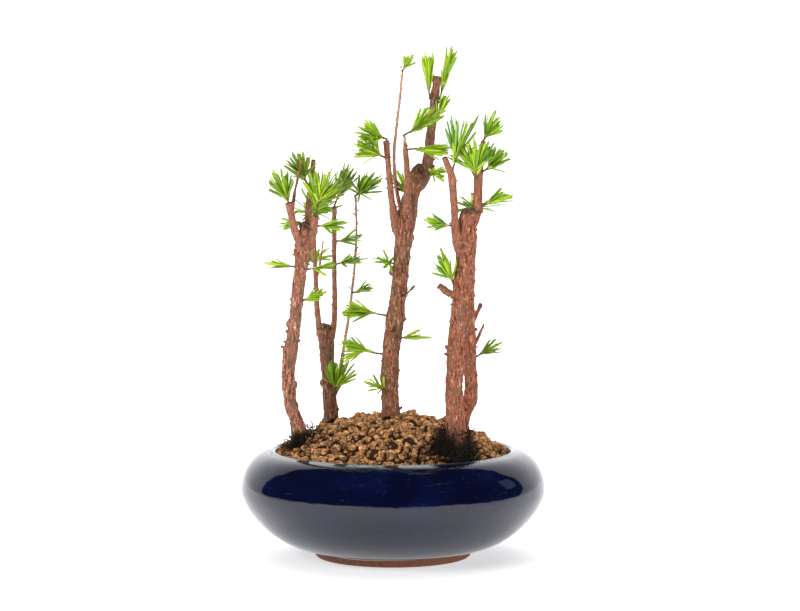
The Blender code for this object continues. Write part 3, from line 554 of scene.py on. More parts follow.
MASSES = tuple(Mass("needles_" + place, *row) for place, *row in (
    ("left_outer", "bough_left_stub", 279, 184, 68, 4, 3, 27, 38),
    ("left_crown", "bough_left_tall", 293, 196, 62, 5, 4, 27, 38),
    ("left_inner", "bough_left_right", 269, 335, 76, 13, 3, 30, 40),
    ("left_low", "bough_left_right", 261, 345, 4, 4, 3, 23, 34),
    ("left_under", "bough_left_tall", 262, 196, 8, 4, 2, 21, 34),
    ("left_side", "trunk_left", 229, 188, 6, 4, 2, 22, 26),
    ("left_shelf", "trunk_left", 227, 345, 10, 6, 2, 22, 26),
    ("left_lower", "trunk_left", 203, 350, 22, 4, 2, 18, 28),
    ("left_back", "bough_left_tall", 268, 80, 30, 8, 3, 20, 52),
    ("slim_head", "bough_slim_left", 259, 60, 70, 12, 3, 31, 36),
    ("slim_top", "bough_slim_right", 274, 338, 66, 11, 3, 31, 30),
    ("whip_top", "whip_slim", 282, 350, 34, 4, 3, 26, 56),
    ("whip_upper", "bough_slim_right", 247, 345, 10, 5, 2, 22, 26),
    ("slim_side", "bough_slim_right", 229, 335, 12, 5, 3, 23, 28),
    ("whip_mid", "whip_slim", 206, 345, 14, 3, 2, 18, 30),
    ("slim_foot", "trunk_slim", 125, 306, 66, 8, 3, 27, 28),
    ("slim_back", "bough_slim_left", 228, 105, 28, 8, 3, 19, 50),
    ("centre_shelf", "trunk_centre", 190, 192, 12, 16, 3, 25, 24),
    ("centre_low_left", "trunk_centre", 160, 184, 10, 15, 3, 25, 26),
    ("centre_foot", "trunk_centre", 133, 228, 14, 4, 2, 17, 80),
    ("centre_low_right", "trunk_centre", 173, 350, -4, 3, 2, 23, 28),
    ("centre_mid", "trunk_centre", 231, 200, 10, 5, 3, 15, 58),
    ("centre_left_tip", "bough_centre_left", 327, 190, 22, 4, 3, 25, 34),
    ("centre_left_side", "bough_centre_left", 314, 204, 26, 6, 3, 25, 32),
    ("centre_front_tip", "bough_centre_front", 330, 345, 28, 10, 3, 32, 24),
    ("centre_front_side", "bough_centre_front", 320, 345, 4, 9, 3, 33, 20),
    ("leader_low", "leader", 301, 325, 4, 4, 3, 14, 50),
    ("leader_side", "leader", 343, 335, 74, 3, 2, 21, 20),
    ("leader_left", "leader", 360, 200, 82, 7, 2, 34, 15),
    ("leader_top", "leader", 360, 20, 78, 12, 2, 34, 14),
    ("whip_centre", "whip_centre", 381, 345, 52, 4, 2, 13, 58),
    ("centre_back", "trunk_centre", 284, 110, 36, 10, 3, 20, 48),
    ("front_left", "bough_front_left", 306, 335, 76, 10, 3, 37, 22),
    ("front_inner", "bough_front_right", 299, 250, 72, 6, 3, 31, 25),
    ("front_right", "bough_front_right", 327, 345, 64, 3, 2, 24, 30),
    ("front_right_side", "bough_front_right", 304, 345, 34, 5, 3, 24, 34),
    ("front_right_low", "bough_front_right", 278, 340, 22, 5, 3, 23, 32),
    ("front_left_side", "bough_front_left", 263, 196, 10, 4, 3, 20, 38),
    ("front_left_mid", "trunk_front", 219, 196, 68, 5, 2, 25, 32),
    ("back_right", "trunk_back", 160, 12, 32, 5, 3, 22, 34),
    ("front_back", "bough_front_right", 272, 95, 32, 9, 3, 20, 50),
))

ROOTS = (
    Roots(48.3, -64, 9.2, 17, 25, 1000),
    Roots(-72, -16, 7.5, 15, 9, 260),
    Roots(-40, -60, 0, 8, 1, 50),
    Roots(-66, -30, 0, 14, 1, 90),
    Roots(42, -74, 0, 15, 1, 160),
    Roots(18, -76, 0, 6, 1, 30),
)

WISPS = (
    Wisp(-64, -30, 16, 78, 60, 0.15, 0.35, 0),
    Wisp(-63, -30, 11, 60, 10, 0.5, 0.3, 0),
    Wisp(-64.5, -31, 8, 64, 150, -0.4, 0.3, 0),
    Wisp(-90, -16, 10, 40, 200, 0.6, 0.3, 0),
    Wisp(-58, -38, 14, 12, 20, 2.2, 0.4, 0),
    Wisp(-30, -66, 13, 8, 340, 1.2, 0.4, 0),
    Wisp(12, -72, 12, 10, 30, -1.4, 0.4, 0),
    Wisp(30, -60, 12, 14, 120, 1.8, 0.4, 0),
    Wisp(-8, -50, 11, 10, 80, 1.6, 0.4, 0),
    Wisp(62, -58, 6, 50, 20, 0.6, 0.9, 1),
    Wisp(62, -58, 5, 62, 150, -0.5, 0.9, 1),
    Wisp(63, -59, 5, 40, 260, 0.5, 0.8, 1),
    Wisp(61, -57, 4, 75, 90, 0.3, 0.8, 1),
)


def ease(shares, shifts, share):
    """The shift at a share of the way, on a smooth curve through the given shifts."""
    last = len(shares) - 1
    at = max(0, min(last - 1, sum(1 for value in shares if value <= share) - 1))

    def slope(i):
        before, after = max(0, i - 1), min(last, i + 1)
        return (shifts[after] - shifts[before]) / (shares[after] - shares[before])

    width = shares[at + 1] - shares[at]
    t = (share - shares[at]) / width
    start, end = shifts[at], shifts[at + 1]
    return (
        start * (1 + 2 * t) * (1 - t) ** 2
        + slope(at) * width * t * (1 - t) ** 2
        + end * t * t * (3 - 2 * t)
        - slope(at + 1) * width * t * t * (1 - t)
    )


def limb_point(limb, share):
    """The middle of the limb at a share of the way from its foot to its tip."""
    straight = Vector(limb.foot).lerp(Vector(limb.tip), share)
    if not limb.bends:
        return straight
    shares, *shifts = zip((0, 0, 0), *limb.bends, (1, 0, 0))
    return straight + Vector((*(ease(shares, shift, share) for shift in shifts), 0))


def limb_radius(limb, share):
    """The radius there, with the root flare of a trunk near its foot."""
    place = share * (len(limb.radii) - 1)
    low = min(int(place), len(limb.radii) - 2)
    plain = limb.radii[low] + (limb.radii[low + 1] - limb.radii[low]) * (place - low)
    above = share * (limb.tip[2] - limb.foot[2])
    return plain + limb.flare * math.exp(-above / FLARE_HEIGHT)


def share_at(limb, height):
    return (height - limb.foot[2]) / (limb.tip[2] - limb.foot[2])


def heading(facing, rise):
    facing, rise = math.radians(facing), math.radians(rise)
    return Vector(
        (math.cos(facing) * math.cos(rise), math.sin(facing) * math.cos(rise), math.sin(rise))
    )


def hashed(x, y, z, seed):
    """A number from 0 to 1 for each lattice point."""
    mixed = sum(part * prime for part, prime in zip((x, y, z, seed), HASH_PRIMES)) & 0xFFFFFFFF
    mixed = ((mixed ^ (mixed >> 13)) * HASH_PRIMES[3]) & 0xFFFFFFFF
    return ((mixed ^ (mixed >> 16)) & 0xFFFF) / 0xFFFF


def wave(points, size, seed):
    """Smooth noise from -1 to 1 at an array of points, with waves of this size along each axis."""
    scaled = np.asarray(points, float) / np.asarray(size, float)
    cell = np.floor(scaled).astype(np.int64)
    part = scaled - cell
    part = part * part * (3 - 2 * part)
    total = np.zeros(len(scaled))
    for corner in range(8):
        step = np.array([corner & 1, (corner >> 1) & 1, corner >> 2])
        weight = np.prod(np.where(step, part, 1 - part), axis=1)
        total += weight * hashed(*(cell + step).T, seed)
    return total * 2 - 1


def smooth_step(low, high, value):
    share = np.clip((value - low) / (high - low), 0, 1)
    return share * share * (3 - 2 * share)


def search_tree(mesh, matrix=Matrix()):
    """A search tree of a mesh, in millimetres."""
    bm = bmesh.new()
    bm.from_mesh(mesh)
    bm.transform(Matrix.Scale(1 / MM, 4) @ matrix)
    found = bvhtree.BVHTree.FromBMesh(bm)
    bm.free()
    return found


def solid_tree(name):
    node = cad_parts[name]
    return search_tree(node.data, node.matrix_world)


def round_ball(level):
    """Points and faces of a ball of radius 1."""
    bm = bmesh.new()
    bmesh.ops.create_icosphere(bm, subdivisions=level, radius=1.0)
    points = np.array([vertex.co for vertex in bm.verts])
    faces = [[vertex.index for vertex in face.verts] for face in bm.faces]
    bm.free()
    return points, faces


class Heap:
    """Many small pieces that are joined into one mesh, in millimetres."""

    def __init__(self):
        self.points, self.faces, self.slots, self.marks = [], [], [], []
        self.count = 0

    def add(self, points, faces, slot=0, marks=(0, 0, 0)):
        """Takes in a piece. Its marks are three numbers for each point, or the same for all."""
        points = np.asarray(points, float)
        self.points.append(points)
        self.marks.append(np.broadcast_to(np.array(marks, float), (len(points), 3)))
        self.faces.extend(tuple(corner + self.count for corner in face) for face in faces)
        self.slots.extend([slot] * len(faces))
        self.count += len(points)

    def build(self, name, materials):
        mesh = bpy.data.meshes.new(name)
        mesh.from_pydata(np.concatenate(self.points) * MM, [], self.faces)
        mesh.polygons.foreach_set("material_index", self.slots)
        for material in materials:
            mesh.materials.append(material)
        return finished(name, mesh, np.concatenate(self.marks))


def finished(name, mesh, marks):
    """A smooth object of a mesh, with three marks at each point."""
    mesh.polygons.foreach_set("use_smooth", [True] * len(mesh.polygons))
    layer = mesh.attributes.get("marks") or mesh.attributes.new("marks", "FLOAT_VECTOR", "POINT")
    layer.data.foreach_set("vector", marks.ravel())
    mesh.update()
    return linked(bpy.data.objects.new(name, mesh))


def linked(made):
    bpy.context.scene.collection.objects.link(made)
    return made


def frames_along(points):
    """Two directions across a path at each of its points."""
    along = np.gradient(points, axis=0)
    along /= np.linalg.norm(along, axis=1)[:, None]
    side = np.cross(along, [0.0, 1.0, 0.0])
    weak = np.linalg.norm(side, axis=1) < NEARLY_ALONG_Y
    side[weak] = np.cross(along[weak], [1.0, 0.0, 0.0])
    side /= np.linalg.norm(side, axis=1)[:, None]
    return side, np.cross(along, side)


def tube(points, radii, sides):
    """Points and faces of a closed tube."""
    points = np.asarray(points, float)
    side, across = frames_along(points)
    turns = np.arange(sides) * math.tau / sides
    ring = np.cos(turns)[:, None, None] * side + np.sin(turns)[:, None, None] * across
    shell = points + ring * np.asarray(radii, float)[:, None]
    count = len(points)
    faces = [
        (i + j, i + (j + 1) % sides, i + sides + (j + 1) % sides, i + sides + j)
        for i in range(0, (count - 1) * sides, sides)
        for j in range(sides)
    ]
    faces.append(tuple(range(sides))[::-1])
    faces.append(tuple(range((count - 1) * sides, count * sides)))
    return shell.transpose(1, 0, 2).reshape(-1, 3), faces


# Materials. Each starts from the shader that every new node material has.


def new_material(name, roughness, specular=0.5):
    material = bpy.data.materials.new(name)
    material.use_nodes = True
    tree = material.node_tree
    shader = tree.nodes["Principled BSDF"]
    shader.inputs["Roughness"].default_value = roughness
    shader.inputs["Specular IOR Level"].default_value = specular
    return material, tree, shader


def noise_node(tree, noise):
    """A noise texture on the object's own coordinates."""
    place = tree.nodes.new("ShaderNodeTexCoord")
    mapping = tree.nodes.new("ShaderNodeMapping")
    mapping.inputs["Scale"].default_value = noise.stretch
    made = tree.nodes.new("ShaderNodeTexNoise")
    made.inputs["Scale"].default_value = noise.scale
    made.inputs["Detail"].default_value = noise.detail
    made.inputs["Roughness"].default_value = noise.roughness
    made.inputs["Distortion"].default_value = noise.distortion
    tree.links.new(place.outputs["Object"], mapping.inputs["Vector"])
    tree.links.new(mapping.outputs["Vector"], made.inputs["Vector"])
    return made.outputs["Fac"]


def ramp(tree, value, stops):
    """A colour ramp: stops are (place, colour), or (place, brightness) for a grey one."""
    node = tree.nodes.new("ShaderNodeValToRGB")
    tree.links.new(value, node.inputs["Fac"])
    elements = node.color_ramp.elements
    while len(elements) < len(stops):
        elements.new(0.5)
    for element, (place, colour) in zip(elements, stops):
        element.position = place
        element.color = (*(colour if isinstance(colour, tuple) else (colour,) * 3), 1.0)
    return node.outputs["Color"]


def mix(tree, factor, first, second, blend="MIX"):
    """Two colours mixed. The node's colour sockets have no names of their own, only places."""
    node = tree.nodes.new("ShaderNodeMix")
    node.data_type = "RGBA"
    node.blend_type = blend
    for place, value in ((0, factor), (6, first), (7, second)):
        if isinstance(value, bpy.types.NodeSocket):
            tree.links.new(value, node.inputs[place])
        else:
            node.inputs[place].default_value = (*value, 1.0) if place else value
    return node.outputs[2]


def laid_over(tree, below, overlay):
    noise = noise_node(tree, overlay.noise)
    share = ramp(tree, noise, ((overlay.low, 0), (overlay.high, overlay.share)))
    return mix(tree, share, below, overlay.colour)


def bump(tree, shader, value, relief, after=None):
    """Relief in the shading, on top of another relief where that is given."""
    node = tree.nodes.new("ShaderNodeBump")
    node.inputs["Distance"].default_value, node.inputs["Strength"].default_value = relief
    tree.links.new(value, node.inputs["Height"])
    if after:
        tree.links.new(after, node.inputs["Normal"])
    tree.links.new(node.outputs["Normal"], shader.inputs["Normal"])
    return node.outputs["Normal"]


def marks_node(tree):
    """The three marks of each point: what they mean is said where they are set."""
    node = tree.nodes.new("ShaderNodeAttribute")
    node.attribute_name = "marks"
    split = tree.nodes.new("ShaderNodeSeparateXYZ")
    tree.links.new(node.outputs["Vector"], split.inputs["Vector"])
    return split.outputs["X"], split.outputs["Y"], split.outputs["Z"]


def bark_material(name, tint):
    """Marks are youth of the wood, cut or scar, and wet dark foot. The tint is the tree's own."""
    material, tree, shader = new_material("flaking_bark_" + name, *BARK_FINISH)
    youth, cut, foot = marks_node(tree)
    strips, grain = noise_node(tree, BARK_STRIPS), noise_node(tree, BARK_GRAIN)
    old = laid_over(tree, laid_over(tree, ramp(tree, strips, OLD_BARK), BARK_PATCHES), BARK_FLECKS)
    old = laid_over(tree, mix(tree, 1.0, old, tint, "MULTIPLY"), BARK_GRIME)
    young = mix(tree, ramp(tree, youth, ((YOUNG_SHARE, 0), (1.0, 1))),
                ramp(tree, grain, YOUNG_BARK), ramp(tree, grain, SHOOT_BARK))
    colour = mix(tree, youth, old, young)
    colour = mix(tree, cut, colour, ramp(tree, grain, CUT_WOOD))
    colour = mix(tree, foot, colour, ramp(tree, grain, WET_BARK))
    tree.links.new(colour, shader.inputs["Base Color"])
    low = bump(tree, shader, strips, STRIP_RELIEF)
    bump(tree, shader, grain, GRAIN_RELIEF, after=low)
    return material


def needle_material(name, middle, base, tip):
    """Marks are place across and along the blade and a number of its own."""
    material, tree, shader = new_material(name, *NEEDLE_FINISH)
    across, along, own = marks_node(tree)
    low, high = BLADE_MIDDLE
    blade = ramp(tree, along, ((0.0, base), (low, middle), (high, middle), (1.0, tip)))
    # Painted shade: the blade's rims are darkened towards a share of its middle colour.
    blade = mix(tree, ramp(tree, across, BLADE_RIM_PAINTED_SHADE), blade,
                tuple(channel * RIM_SHADE for channel in middle))
    times, more = STRIPE_LIGHT
    blade = mix(tree, ramp(tree, across, BLADE_STRIPE), blade,
                tuple(min(1.0, channel * times + more) for channel in middle))
    blade = mix(tree, 1.0, blade, ramp(tree, own, BLADE_SHADES), "MULTIPLY")
    veins = noise_node(tree, VEINS)
    blade = mix(tree, VEIN_SHARE, blade, ramp(tree, veins, VEIN_SHADES), "MULTIPLY")
    tree.links.new(blade, shader.inputs["Base Color"])
    shader.inputs["Subsurface Weight"].default_value = BLADE_SUBSURFACE
    shader.inputs["Subsurface Radius"].default_value = BLADE_DEPTHS
    bump(tree, shader, veins, VEIN_RELIEF)
    return material


def speckled_material(name):
    """The third mark is the brightness of a piece."""
    speckle = SPECKLES[name]
    material, tree, shader = new_material(name, speckle.roughness, SPECKLE_SPECULAR)
    grain = noise_node(tree, Noise(speckle.scale, (1, 1, 1), speckle.detail, SPECKLE_ROUGHNESS))
    shade = ramp(tree, marks_node(tree)[2], SPECKLE_SHADES)
    colour = mix(tree, 1.0, ramp(tree, grain, speckle.stops), shade, "MULTIPLY")
    tree.links.new(colour, shader.inputs["Base Color"])
    bump(tree, shader, grain, (speckle.relief, SPECKLE_STRENGTH))
    return material


def glaze_material():
    """Marks are place up the pot, where 0 is the bare foot and 1 the glaze, and the lip's crest."""
    material, tree, shader = new_material("cobalt_glaze", GLAZE_ROUGHNESS)
    glazed, lip, _ = marks_node(tree)
    blue = ramp(tree, noise_node(tree, GLAZE_DEPTH), GLAZE_BLUES)
    # Painted highlights: thin pale blue streaks over the glaze's blue; the specks after them are
    # the glaze's own.
    blue = laid_over(tree, laid_over(tree, blue, GLAZE_HIGHLIGHT_STREAKS), GLAZE_SPECKS)
    blue = mix(tree, lip, blue, LIP_COLOUR)
    clay = ramp(tree, noise_node(tree, FOOT_GRAIN), FOOT_CLAY)
    colour = mix(tree, ramp(tree, glazed, GLAZED_FROM), clay, blue)
    colour = mix(tree, ramp(tree, glazed, GLAZE_RIM), colour, EDGE_COLOUR)
    tree.links.new(colour, shader.inputs["Base Color"])
    tree.links.new(ramp(tree, glazed, GLAZE_SHINE), shader.inputs["Roughness"])
    shader.inputs["IOR"].default_value = GLAZE_IOR
    low = bump(tree, shader, noise_node(tree, GLAZE_PEEL), PEEL_RELIEF)
    bump(tree, shader, noise_node(tree, GLAZE_SWELL), SWELL_RELIEF, after=low)
    return material


# Wood.


def limb_shell(heap, limb):
    """A fine tube for a limb, oval and slightly lumpy."""
    length = (Vector(limb.tip) - Vector(limb.foot)).length
    count = max(FEWEST_STATIONS, round(length / STATION_STEP)) + 1
    shares = [i / (count - 1) for i in range(count)]
    points = np.array([limb_point(limb, share) for share in shares])
    shell, faces = tube(points, [limb_radius(limb, share) for share in shares], LIMB_SIDES)
    centres = np.repeat(points, LIMB_SIDES, axis=0)
    lumps = sum(lump.at(shell) * lump.depth for lump in LIMB_LUMPS)
    heap.add(centres + (shell - centres) * (1 + lumps)[:, None], faces)


def knot_place(knot, limb):
    share = share_at(limb, knot.height)
    out = heading(knot.facing, KNOT_RISE)
    depth = limb_radius(limb, share) - KNOT_SUNK * knot.radius
    return limb_point(limb, share) + out * depth, out


def ball_shell(heap, centre, radius, stretch=(1, 1, 1)):
    points, faces = round_ball(BALL_LEVEL)
    points = points * radius * np.array(stretch)
    rough = wave(points + np.array(centre), (radius * BALL_WAVE,) * 3, BALL_SEED)
    points *= (1 + BALL_ROUGHNESS * rough)[:, None]
    heap.add(points + np.array(centre), faces)


def stub_shell(heap, start, way, length, radius, seed, taper, sides):
    """A dead stub or spur with a slight crook in it. It gives its tip and the radius there."""
    rng = random.Random(seed)
    lean = Vector([rng.uniform(-CROOK, CROOK) for _ in range(3)])
    count = max(FEWEST_STUB_STEPS, int(length / STUB_STEP))
    points = [
        start + way * (length * i / count) + lean * length * (i / count) ** 2
        for i in range(count + 1)
    ]
    radii = [radius * (1 - (1 - taper) * i / count) for i in range(count + 1)]
    heap.add(*tube(points, radii, sides))
    return points[-1], radii[-1]


def burr_shells(heap, limb, tip, way):
    """Lumpy healed bark round the top of a stump."""
    rng = random.Random("stump of " + limb.name)
    widest = max(limb.radii[-3:])
    for i in range(STUMP_LUMPS):
        out = Matrix.Rotation(i * GOLDEN_TURN, 3, way) @ way.orthogonal().normalized()
        share = rng.random()
        away = widest * STUMP_SPREAD * share
        depth = widest * (rng.uniform(0, STUMP_DEPTH) - STUMP_DOME * (1 - share))
        ball_shell(heap, tip - way * depth + out * away, widest * rng.uniform(*STUMP_LUMP_SIZE))


def spurs_of(limb):
    """Small spurs and bud scars up a limb: (height, facing, length, radius), by a seeded rule."""
    rng = random.Random("spurs of " + limb.name)
    span = limb.tip[2] - limb.foot[2]
    low, high = SPUR_ENDS
    for _ in range(int(span / SPUR_STEP)):
        height = limb.foot[2] + rng.uniform(low, span - high)
        slim = min(1.0, limb_radius(limb, share_at(limb, height)) / FULL_SPUR_LIMB)
        size = rng.uniform(*SPUR_SIZE) * slim
        yield height, rng.uniform(0, 360), rng.uniform(*SPUR_LENGTH), max(THINNEST_SPUR, size)


def shell_of_tree(limbs):
    """All shells of a tree, with its scars and its cut ends: (middle, direction out, radius)."""
    names = {limb.name: limb for limb in limbs}
    heap, scars, ends = Heap(), [], []
    for limb in limbs:
        limb_shell(heap, limb)
        tip = limb_point(limb, 1.0)
        way = (tip - limb_point(limb, END_SHARE)).normalized()
        ends.append((tip, way, limb_radius(limb, 1.0)))
        if limb.flare:
            burr_shells(heap, limb, tip, way)
        for height, facing, length, radius in spurs_of(limb):
            share = share_at(limb, height)
            stub_shell(heap, limb_point(limb, share), heading(facing, SPUR_RISE),
                       length + limb_radius(limb, share), radius, height, SPUR_TAPER, SPUR_SIDES)
    for knot in KNOTS:
        if knot.limb in names:
            centre, out = knot_place(knot, names[knot.limb])
            ball_shell(heap, centre, knot.radius, KNOT_STRETCH)
            scars.append((centre + out * knot.radius, out, knot.radius))
    for stub in STUBS:
        if stub.limb in names:
            limb = names[stub.limb]
            share = share_at(limb, stub.height)
            way = heading(stub.facing, stub.rise)
            tip, radius = stub_shell(heap, limb_point(limb, share), way,
                                     stub.length + limb_radius(limb, share), stub.radius,
                                     stub.height, STUB_TAPER, STUB_SIDES)
            ends.append((tip, way, radius))
    return heap, scars, ends


def skin_of(heap, tree, material):
    """One closed skin over all shells: its mesh, points and directions out."""
    rough = heap.build("rough_" + tree, [material])
    remesh = rough.modifiers.new("skin", "REMESH")
    remesh.mode = "VOXEL"
    remesh.voxel_size = SKIN_VOXEL[tree] * MM
    smooth = rough.modifiers.new("smooth", "SMOOTH")
    smooth.factor, smooth.iterations = SKIN_SMOOTHING
    graph = bpy.context.evaluated_depsgraph_get()
    mesh = bpy.data.meshes.new_from_object(rough.evaluated_get(graph))
    bpy.data.objects.remove(rough)
    points = np.empty(len(mesh.vertices) * 3)
    normals = np.empty(len(mesh.vertices) * 3)
    mesh.vertices.foreach_get("co", points)
    mesh.vertex_normals.foreach_get("vector", normals)
    return mesh, points.reshape(-1, 3) / MM, normals.reshape(-1, 3)


def nearest_limbs(points, limbs):
    """The radius of the limb that each point lies on, and that limb's number."""
    last = LIMB_SAMPLES - 1
    samples = np.array([
        (*limb_point(limb, i / last), limb_radius(limb, i / last))
        for limb in limbs
        for i in range(LIMB_SAMPLES)
    ])
    nearest = np.concatenate([
        (np.linalg.norm(points[start:start + POINTS_AT_ONCE, None] - samples[None, :, :3], axis=2)
         - samples[:, 3]).argmin(axis=1)
        for start in range(0, len(points), POINTS_AT_ONCE)
    ])
    return samples[nearest, 3], nearest // LIMB_SAMPLES


def bark_relief(points, thick):
    """Fissures, flakes, rings and fine roughness, weaker on thin wood."""
    scale = np.clip(thick / FULL_RELIEF_LIMB, LEAST_RELIEF, 1.0)
    fissures = -np.abs(FISSURES.at(points)) * FISSURES.depth + FISSURE_LIFT
    flakes = smooth_step(*FLAKE_EDGES, FLAKES.at(points)) * FLAKES.depth
    rings = smooth_step(*RING_EDGES, BARK_RINGS.at(points)) * BARK_RINGS.depth
    return (fissures + flakes + rings + FINE_RELIEF.at(points) * FINE_RELIEF.depth) * scale


def bark_marks(tree, limbs, points, thick, owner, cut, pale):
    """Youth, cut or scar, and wet foot at each point."""
    youth = YOUNG_SHARE * smooth_step(*YOUNG_RADII, thick)
    youth += SHOOT_SHARE * smooth_step(*SHOOT_RADII, thick)
    youth = np.maximum(youth, SCAR_PALENESS * pale)
    for number, limb in enumerate(limbs):
        if limb.name in DARK_LIMBS:
            blotch = DARK_BASE + DARK_BLOTCHES.depth * DARK_BLOTCHES.at(points)
            cut = np.maximum(cut, (owner == number) * DARK_LIMBS[limb.name] * blotch)
    ground = min(limb.foot[2] for limb in limbs if limb.flare)
    dry, wet = WET_EDGE
    foot = smooth_step(ground + dry + WET_HEIGHT.get(tree, 0), ground + wet,
                       points[:, 2] + WET_WANDER.depth * WET_WANDER.at(points))
    return np.column_stack([youth, cut, foot])


def build_wood(tree, material):
    """One mesh of a tree's trunk and boughs, with the bark's relief on it."""
    limbs = [limb for limb in LIMBS if limb.tree == tree]
    heap, scars, ends = shell_of_tree(limbs)
    mesh, points, normals = skin_of(heap, tree, material)
    thick, owner = nearest_limbs(points, limbs)
    relief = bark_relief(points, thick)
    cut, pale = np.zeros(len(points)), np.zeros(len(points))
    for centre, out, radius in scars:
        reach = points - np.array(centre)
        away = np.linalg.norm(reach - np.outer(reach @ np.array(out), np.array(out)), axis=1)
        near = np.linalg.norm(reach, axis=1) < radius * SCAR_REACH
        middle, width = SCAR_RING
        ring = np.exp(-((away - radius * middle) / (radius * width)) ** 2)
        pit = np.exp(-(away / (radius * SCAR_PIT)) ** 2)
        relief += near * (ring * SCAR_RING_HEIGHT - pit * SCAR_PIT_DEPTH) * radius
        cut = np.maximum(cut, near * pit * SCAR_DARKNESS)
        pale = np.maximum(pale, near * ring)
    rough = END_ROUGHNESS.depth * END_ROUGHNESS.at(points)
    for tip, way, radius in ends:
        reach = points - np.array(tip)
        above = reach @ np.array(way)
        lowest = -(radius * END_DEPTH[0] + END_DEPTH[1])
        near = np.linalg.norm(reach, axis=1) < radius * END_REACH[0] + END_REACH[1]
        near &= (above > lowest) & ((above < END_TOP) | (np.abs(thick - radius) < END_LIKENESS))
        cut = np.maximum(cut, near * smooth_step(lowest, END_DARK_FROM, above))
        relief -= near * (above > END_ROUGH_FROM) * rough
    points += normals * relief[:, None]
    marks = bark_marks(tree, limbs, points, thick, owner, cut, pale)
    mesh.vertices.foreach_set("co", (points * MM).ravel())
    mesh.materials.clear()
    mesh.materials.append(material)
    made = finished("wood_" + tree, mesh, marks)
    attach(made, "root")
    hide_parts(*(limb.name for limb in limbs))
    return made


# Needles.


def add_needle(heap, root, way, side, length, width, curl, slot, own):
    """A flat blade with a low keel that bends away along its length."""
    way, side = np.array(way), np.array(side)
    side = side - way * (side @ way)
    side /= np.linalg.norm(side)
    up = np.cross(side, way)
    points, marks = [], []
    for place, wide in BLADE:
        along = way * (place * length * (1 - BLADE_SHORTENING * abs(curl)))
        middle = np.array(root) + along + up * (curl * place * place * length)
        half = side * wide * width / 2
        thick = up * NEEDLE_THICKNESS / 2 * min(1.0, wide + BLADE_THIN_END)
        points += [middle - half, middle + thick * BLADE_KEEL, middle + half, middle - thick]
        marks += [(0, place, own), (0.5, place, own), (1, place, own), (0.5, place, own)]
    last = len(points) - 4
    faces = [
        (i + j, i + (j + 1) % 4, i + 4 + (j + 1) % 4, i + 4 + j)
        for i in range(0, last, 4)
        for j in range(4)
    ]
    faces += [(3, 2, 1, 0), (last, last + 1, last + 2, last + 3)]
    heap.add(points, faces, slot, marks)


def surface_point(limb_tree, limb, height, direction):
    """Where a stem leaves its limb, with the surface's direction there."""
    share = share_at(limb, height)
    middle = limb_point(limb, min(1.0, share))
    if share > TIP_SHARE:
        direction = (limb_point(limb, 1.0) - limb_point(limb, BELOW_TIP_SHARE)).normalized()
        middle = middle - direction
    else:
        direction = Vector((direction.x, direction.y, 0)).normalized()
    hit = limb_tree.ray_cast(middle + direction * RAY_START, -direction, RAY_REACH)
    normal = hit[1] if hit[1].dot(direction) > 0 else -hit[1]
    return hit[0], normal


def stem_of(mass, limb, limb_tree):
    """Where a mass's stem starts, its direction, and the direction of its twigs' plane."""
    main = heading(mass.facing, mass.rise)
    surface, out = surface_point(limb_tree, limb, mass.height, main)
    if main.dot(out) < LEAST_LEAN_OUT:
        main = (main + out / 2).normalized()
    tilt = math.sqrt(max(0.0, 1 - main.dot(out) ** 2))
    side = main.cross(Vector((0, 0, 1)))
    side = (side if side.length > LEAST_ACROSS else main.orthogonal()).normalized()
    return surface + out * (GAP + STEM_RADIUS * tilt), main, main.cross(side)


def shoots_of(mass, start, main, turning_axis, rng):
    """The stem, then its side shoots, left and right in turn: (root, direction, length)."""
    shoots = [(start, main, mass.stem)]
    side_length = mass.stem * SIDE_LENGTH_SHARE + SIDE_LENGTH_MORE
    for i in range(1, mass.shoots):
        turn = (1 if i % 2 else -1) * math.radians(mass.spread * rng.uniform(*SIDE_TURN))
        direction = (Matrix.Rotation(turn, 3, turning_axis) @ main).normalized()
        direction = (direction + Vector((0, 0, rng.uniform(*SIDE_LIFT)))).normalized()
        leaves_at = max(LOWEST_SIDE_SHOOT, 1 - SIDE_SHOOT_STEP * ((i + 1) // 2))
        shoots.append((start + main * mass.stem * leaves_at, direction, side_length))
    full = mass.reach >= FINE_SHOOTS_FROM and mass.spread >= NARROW_TUFT
    for i in range(FINE_SHOOTS if full else 0):
        turn = (-1 if i % 2 else 1) * math.radians(mass.spread * rng.uniform(*FINE_SHOOT_TURN))
        direction = Matrix.Rotation(turn, 3, turning_axis) @ main
        tilt = turning_axis * rng.uniform(-FINE_SHOOT_TILT, FINE_SHOOT_TILT)
        place = start + main * mass.stem * rng.uniform(*FINE_SHOOT_PLACE)
        shoots.append((place, (direction + tilt).normalized(), side_length))
    return shoots


